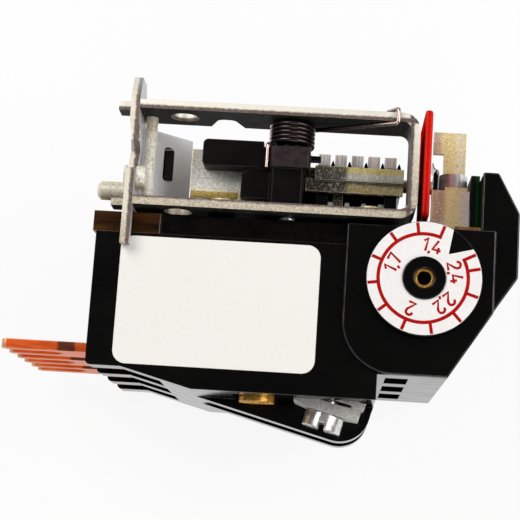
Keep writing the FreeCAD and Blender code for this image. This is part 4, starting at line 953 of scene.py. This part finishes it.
# webs low between the fins, each with a slanted top, and the carrier's blank end beside the first fin
websLook = {
    "lefts": (11.05, 14.15, 17.25, 20.35, 23.45), "back": 20.0, "front": 29.7,
    "web": [(0.0, 15.2), (0.9, 15.2), (0.9, 20.9), (0.6, 21.8), (0.35, 21.5), (0.0, 20.3)],
    "blank": [(-2.4, 6.25), (8.8, 6.25), (8.8, 18.6), (4.6, 18.6), (4.2, 18.2), (4.2, 16.0), (-2.0, 16.0),
              (-2.4, 15.6)],
    "finish": (glossBlack,), "slot": "black_matte",
}


def finWebs(look):
    work = bmesh.new()
    outlines = [corners(look["blank"])] + [corners(look["web"], left) for left in look["lefts"]]
    for outline in outlines:
        raisedSolid(work, outline, look["back"], look["front"])
    newPiece(work, "fin_webs", "base", look)


finWebs(websLook)
print("fin webs placed")


# black rest with its bright bent strip, beside the contact screw
restLook = {
    "back": 31.7, "front": 36.6, "edge": 0.18, "finish": (glossBlack,), "slot": "black_matte",
    "outline": [(30.02, 15.0), (30.78, 15.0), (30.78, 18.3), (30.6, 18.9), (30.25, 19.0), (30.02, 18.4)],
}
restStripLook = {
    "back": 31.9, "front": 37.0, "half": 0.11, "finish": (nickel,), "slot": "bright_steel",
    "line": [(29.8, 20.4), (29.95, 19.7), (30.3, 19.3), (30.75, 19.1), (30.95, 18.6), (30.95, 15.05)],
}


def contactRest(look, stripLook):
    work = bmesh.new()
    raisedSolid(work, corners(look["outline"]), look["back"], look["front"])
    roundEdges(work, look)
    newPiece(work, "contact_rest", "base", look)
    work = bmesh.new()
    stroke = penStroke(corners(stripLook["line"]), stripLook["half"] * mm)
    raisedSolid(work, stroke, stripLook["back"], stripLook["front"])
    newPiece(work, "contact_rest_strip", "base", stripLook)


contactRest(restLook, restStripLook)
print("contact rest placed")


# spacer post with its rolled rings
postLook = {
    "middle": (-21.3, 42.3), "low": 8.8, "high": 24.6, "radius": 1.1, "pitch": 0.42, "groove": 0.08,
    "floor": (0.35, 0.65), "foot": 1.0, "head": 0.9, "margin": 1.2, "around": 28, "finish": (postZinc,),
    "slot": "zinc_steel",
}


def ringedPost(look):
    low, high, radius = look["low"], look["high"], look["radius"]
    outline = [(low, radius), (low + look["foot"], radius)]
    for step in range(int((high - low - 2 * look["margin"]) / look["pitch"])):
        y = low + look["margin"] + step * look["pitch"]
        outline.append((y, radius))
        for share in look["floor"]:
            outline.append((y + look["pitch"] * share, radius - look["groove"]))
    outline += [(high - look["head"], radius), (high, radius)]
    work = bmesh.new()
    turns = [2 * math.pi * step / look["around"] for step in range(look["around"])]
    px, pz = look["middle"]
    skinRings(work, [[work.verts.new(Vector((px + wide * math.sin(a), y, pz + wide * math.cos(a))) * mm)
                      for a in turns] for y, wide in outline])
    bmesh.ops.recalc_face_normals(work, faces=work.faces)
    closeCopy(work, "spacer_post", look)


ringedPost(postLook)
print("spacer post ringed")


# torsion spring, one wire: foot on the lever's arm, five turns, hook over the bracket's edge
springLook = {
    "axis": (4.1, 43.7), "radius": 3.75, "low": 19.975, "high": 24.075, "turns": 5, "wire": 0.375,
    "foot": [(0.0, 15.6, 46.225), (0.0, 19.975, 46.225)], "start": 270, "leave": 152.3, "step": 9,
    "hook": [(22.7, 24.075, 49.225), (22.7, 26.725, 49.225), (20.9, 26.725, 46.6)], "bend": 0.55,
    "finish": (springWire,), "slot": "spring_steel",
}


def bentWire(points, bend, steps=6, most=0.48):
    # straight runs with a small arc at every corner, which takes at most that share of a run
    line = [Vector(points[0])]
    for before, here, after in zip(points, points[1:], points[2:]):
        here = Vector(here)
        back, on = Vector(before) - here, Vector(after) - here
        reach = min(bend, back.length * most, on.length * most)
        start, end = here + back.normalized() * reach, here + on.normalized() * reach
        for step in range(steps + 1):
            t = step / steps
            line.append(start * (1 - t) ** 2 + here * 2 * t * (1 - t) + end * t * t)
    line.append(Vector(points[-1]))
    return line


def wireMesh(name, line, radius):
    curve = bpy.data.curves.new("springLine", "CURVE")
    curve.dimensions = "3D"
    curve.bevel_depth = radius * mm
    curve.bevel_resolution = 3
    curve.use_fill_caps = True
    run = curve.splines.new("POLY")
    run.points.add(len(line) - 1)
    for knot, spot in zip(run.points, line):
        knot.co = (*(spot * mm), 1)
    holder = bpy.data.objects.new("springLine", curve)
    mesh = bpy.data.meshes.new_from_object(holder)
    bpy.data.objects.remove(holder)
    bpy.data.curves.remove(curve)
    mesh.name = name
    for polygon in mesh.polygons:
        polygon.use_smooth = True
    return mesh


def woundSpring(look):
    px, pz = look["axis"]
    low, high = look["low"], look["high"]
    swept = 360 * look["turns"] + look["start"] - look["leave"]
    coil = []
    count = int(swept / look["step"])
    for step in range(count + 1):
        a = math.radians(look["start"] - swept * step / count)
        height = low + (high - low) * step / count
        coil.append(Vector((px + look["radius"] * math.sin(a), height, pz + look["radius"] * math.cos(a))))
    lead = bentWire(look["foot"] + [coil[0]], look["bend"])[:-1]
    tail = bentWire([coil[-1]] + look["hook"], look["bend"])[1:]
    mesh = wireMesh("torsion_spring_wire", lead + coil + tail, look["wire"])
    spring = pieceFrom("torsion_spring_wire", mesh, look["finish"])
    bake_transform(spring)
    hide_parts("torsion_spring")


woundSpring(springLook)
print("torsion spring wound")


# dial print: red ring, ticks and plain setting numbers, a hair above the white scale
dialLook = {
    "middle": (28.4, -3.2), "top": 49.6, "ink": 0.02, "sunk": 0.005, "layer": 0.003, "tickLayer": 0.004,
    "ring": (7.40, 8.00), "ringShift": (-0.2, 0.0), "ringSteps": 150, "rim": 9.74,
    "ticks": (70, 98, 128, 159, 188, 219, 250, 281, 313, 343, 372, 387), "tickWidth": 0.56, "lap": 0.04,
    "numbers": (("1,4", 77, 5.8), ("1,7", 156.5, 5.8), ("2", 250, 5.75), ("2,2", 312, 5.65),
                ("2,4", 13, 5.6)),
    "height": 2.3, "pen": 0.43, "gap": 0.1, "finish": (redPrint,), "slot": "white_print",
}
# pen strokes of the figures, in a box one unit high, with each figure's width
figures = {
    "1": (0.42, [[(0.04, 0.74), (0.30, 0.97), (0.30, 0.0)]]),
    "2": (0.62, [[(0.04, 0.74), (0.09, 0.90), (0.22, 0.99), (0.38, 0.98), (0.51, 0.88), (0.54, 0.72),
                  (0.48, 0.56), (0.04, 0.03), (0.58, 0.03)]]),
    "4": (0.66, [[(0.34, 1.0), (0.03, 0.26), (0.66, 0.26)], [(0.46, 0.50), (0.46, 0.0)]]),
    "7": (0.58, [[(0.02, 0.97), (0.55, 0.97), (0.20, 0.0)]]),
    ",": (0.14, [[(0.10, 0.08), (0.02, -0.14)]]),
}


def dialPoint(look, radius, degrees):
    a = math.radians(degrees)
    return Vector((look["middle"][0] + look["ringShift"][0] + radius * math.cos(a),
                   look["middle"][1] + look["ringShift"][1] + radius * math.sin(a), 0)) * mm


def printedNumber(look, words, degrees, radius, low, high):
    width = sum(figures[sign][0] + look["gap"] for sign in words) - look["gap"]
    spot = dialPoint(look, radius, degrees)
    a = math.radians(degrees)
    right = Vector((math.sin(a), -math.cos(a), 0)) * look["height"] * mm
    up = Vector((-right.y, right.x, 0))
    work = bmesh.new()
    start, layer = -width / 2, 0
    for sign in words:
        for stroke in figures[sign][1]:
            line = [spot + right * (start + u) + up * (v - 0.5) for u, v in stroke]
            raisedSolid(work, penStroke(line, look["pen"] / 2 * mm), low, high - look["layer"] * layer)
            layer += 1
        start += figures[sign][0] + look["gap"]
    newPiece(work, "dial_number_" + words.replace(",", "_"), "dial", look)


def printedRing(look, work, low, high):
    near, far = look["ring"]
    half = math.degrees(look["tickWidth"] / 2 / far)
    first, last = look["ticks"][0] - half, look["ticks"][-1] + half
    turns = [first + (last - first) * step / look["ringSteps"] for step in range(look["ringSteps"] + 1)]
    outer = [dialPoint(look, far, a) for a in turns]
    inner = [dialPoint(look, near, a) for a in turns]
    raisedSolid(work, outer + inner[::-1], low, high)


def printedTicks(look, work, low, high):
    # from the ring out to the rim, which the ring's middle is a little off
    middle = dialPoint(look, 0, 0)
    shift = Vector((*look["ringShift"], 0))
    for tick in look["ticks"]:
        out = (dialPoint(look, 1, tick) - middle).normalized()
        side = Vector((-out.y, out.x, 0)) * (look["tickWidth"] / 2 * mm)
        reach = math.sqrt(shift.dot(out) ** 2 + look["rim"] ** 2 - shift.length_squared) - shift.dot(out)
        near, far = middle + out * ((look["ring"][1] - look["lap"]) * mm), middle + out * (reach * mm)
        raisedSolid(work, [near - side, far - side, far + side, near + side], low, high)


def printedScale(look):
    low, high = look["top"] - look["sunk"], look["top"] + look["ink"]
    work = bmesh.new()
    printedRing(look, work, low, high)
    printedTicks(look, work, low, high - look["tickLayer"])
    newPiece(work, "dial_marks", "dial", look)
    for words, degrees, radius in look["numbers"]:
        printedNumber(look, words, degrees, radius, low, high)


printedScale(dialLook)
print("dial printed")


# floor, light and world
studio = {
    "floor": 1.2, "cells": 8, "floorZ": -0.0002, "floorTones": ((0.92, 0.92, 0.92), (0.93, 0.93, 0.93)),
    "patches": 40, "floorRough": 0.9, "glow": 0.9, "sky": 0.16, "aim": (0, 0, 0.02),
    "lamps": (("keyLamp", (-0.34, 0.30, 0.50), 0.42, 2.45), ("fillLamp", (0.46, 0.10, 0.42), 0.45, 2.45),
              ("footLamp", (0.06, -0.52, 0.30), 0.30, 0.75)),
}


def whiteFloor(look):
    finish, tree, shader, place = startFinish("whiteFloor")
    dark, light = look["floorTones"]
    tone = ramp(tree, grain(tree, place, look["patches"]), [(0.3, dark), (0.7, light)])
    tree.links.new(tone, shader.inputs["Base Color"])
    shader.inputs["Roughness"].default_value = look["floorRough"]
    shader.inputs["Specular IOR Level"].default_value = 0.0
    path = addNode(tree, "ShaderNodeLightPath").outputs
    seen = strongest(tree, [path["Is Camera Ray"], path["Is Glossy Ray"], path["Is Transmission Ray"]])
    white = addNode(tree, "ShaderNodeEmission", {"Color": (1, 1, 1, 1), "Strength": 1.0})
    mix = addNode(tree, "ShaderNodeMixShader", {0: times(tree, seen, look["glow"]),
                                                1: shader.outputs[0], 2: white.outputs[0]})
    tree.links.new(mix.outputs[0], tree.nodes["Material Output"].inputs["Surface"])
    work = bmesh.new()
    bmesh.ops.create_grid(work, x_segments=look["cells"], y_segments=look["cells"], size=look["floor"])
    floor = pieceFrom("whiteFloor", meshFrom(work, "whiteFloor"), (finish,))
    floor.location.z = look["floorZ"]


def hangLamp(name, place, size, power, aim):
    lamp = bpy.data.lights.new(name, "AREA")
    lamp.shape = "SQUARE"
    lamp.size = size
    lamp.energy = power
    holder = bpy.data.objects.new(name, lamp)
    holder.location = place
    holder.rotation_euler = (Vector(aim) - Vector(place)).to_track_quat("-Z", "Y").to_euler()
    scene.collection.objects.link(holder)


def whiteWorld(look):
    world = bpy.data.worlds.new("studioSky")
    world.use_nodes = True
    tree = world.node_tree
    path = addNode(tree, "ShaderNodeLightPath").outputs
    back = tree.nodes["Background"]
    back.inputs["Color"].default_value = (1, 1, 1, 1)
    tree.links.new(maths(tree, "MAXIMUM", path["Is Camera Ray"], look["sky"]), back.inputs["Strength"])
    scene.world = world


whiteFloor(studio)
for lampName, lampPlace, lampSize, lampPower in studio["lamps"]:
    hangLamp(lampName, lampPlace, lampSize, lampPower, studio["aim"])
whiteWorld(studio)
print("studio lit")
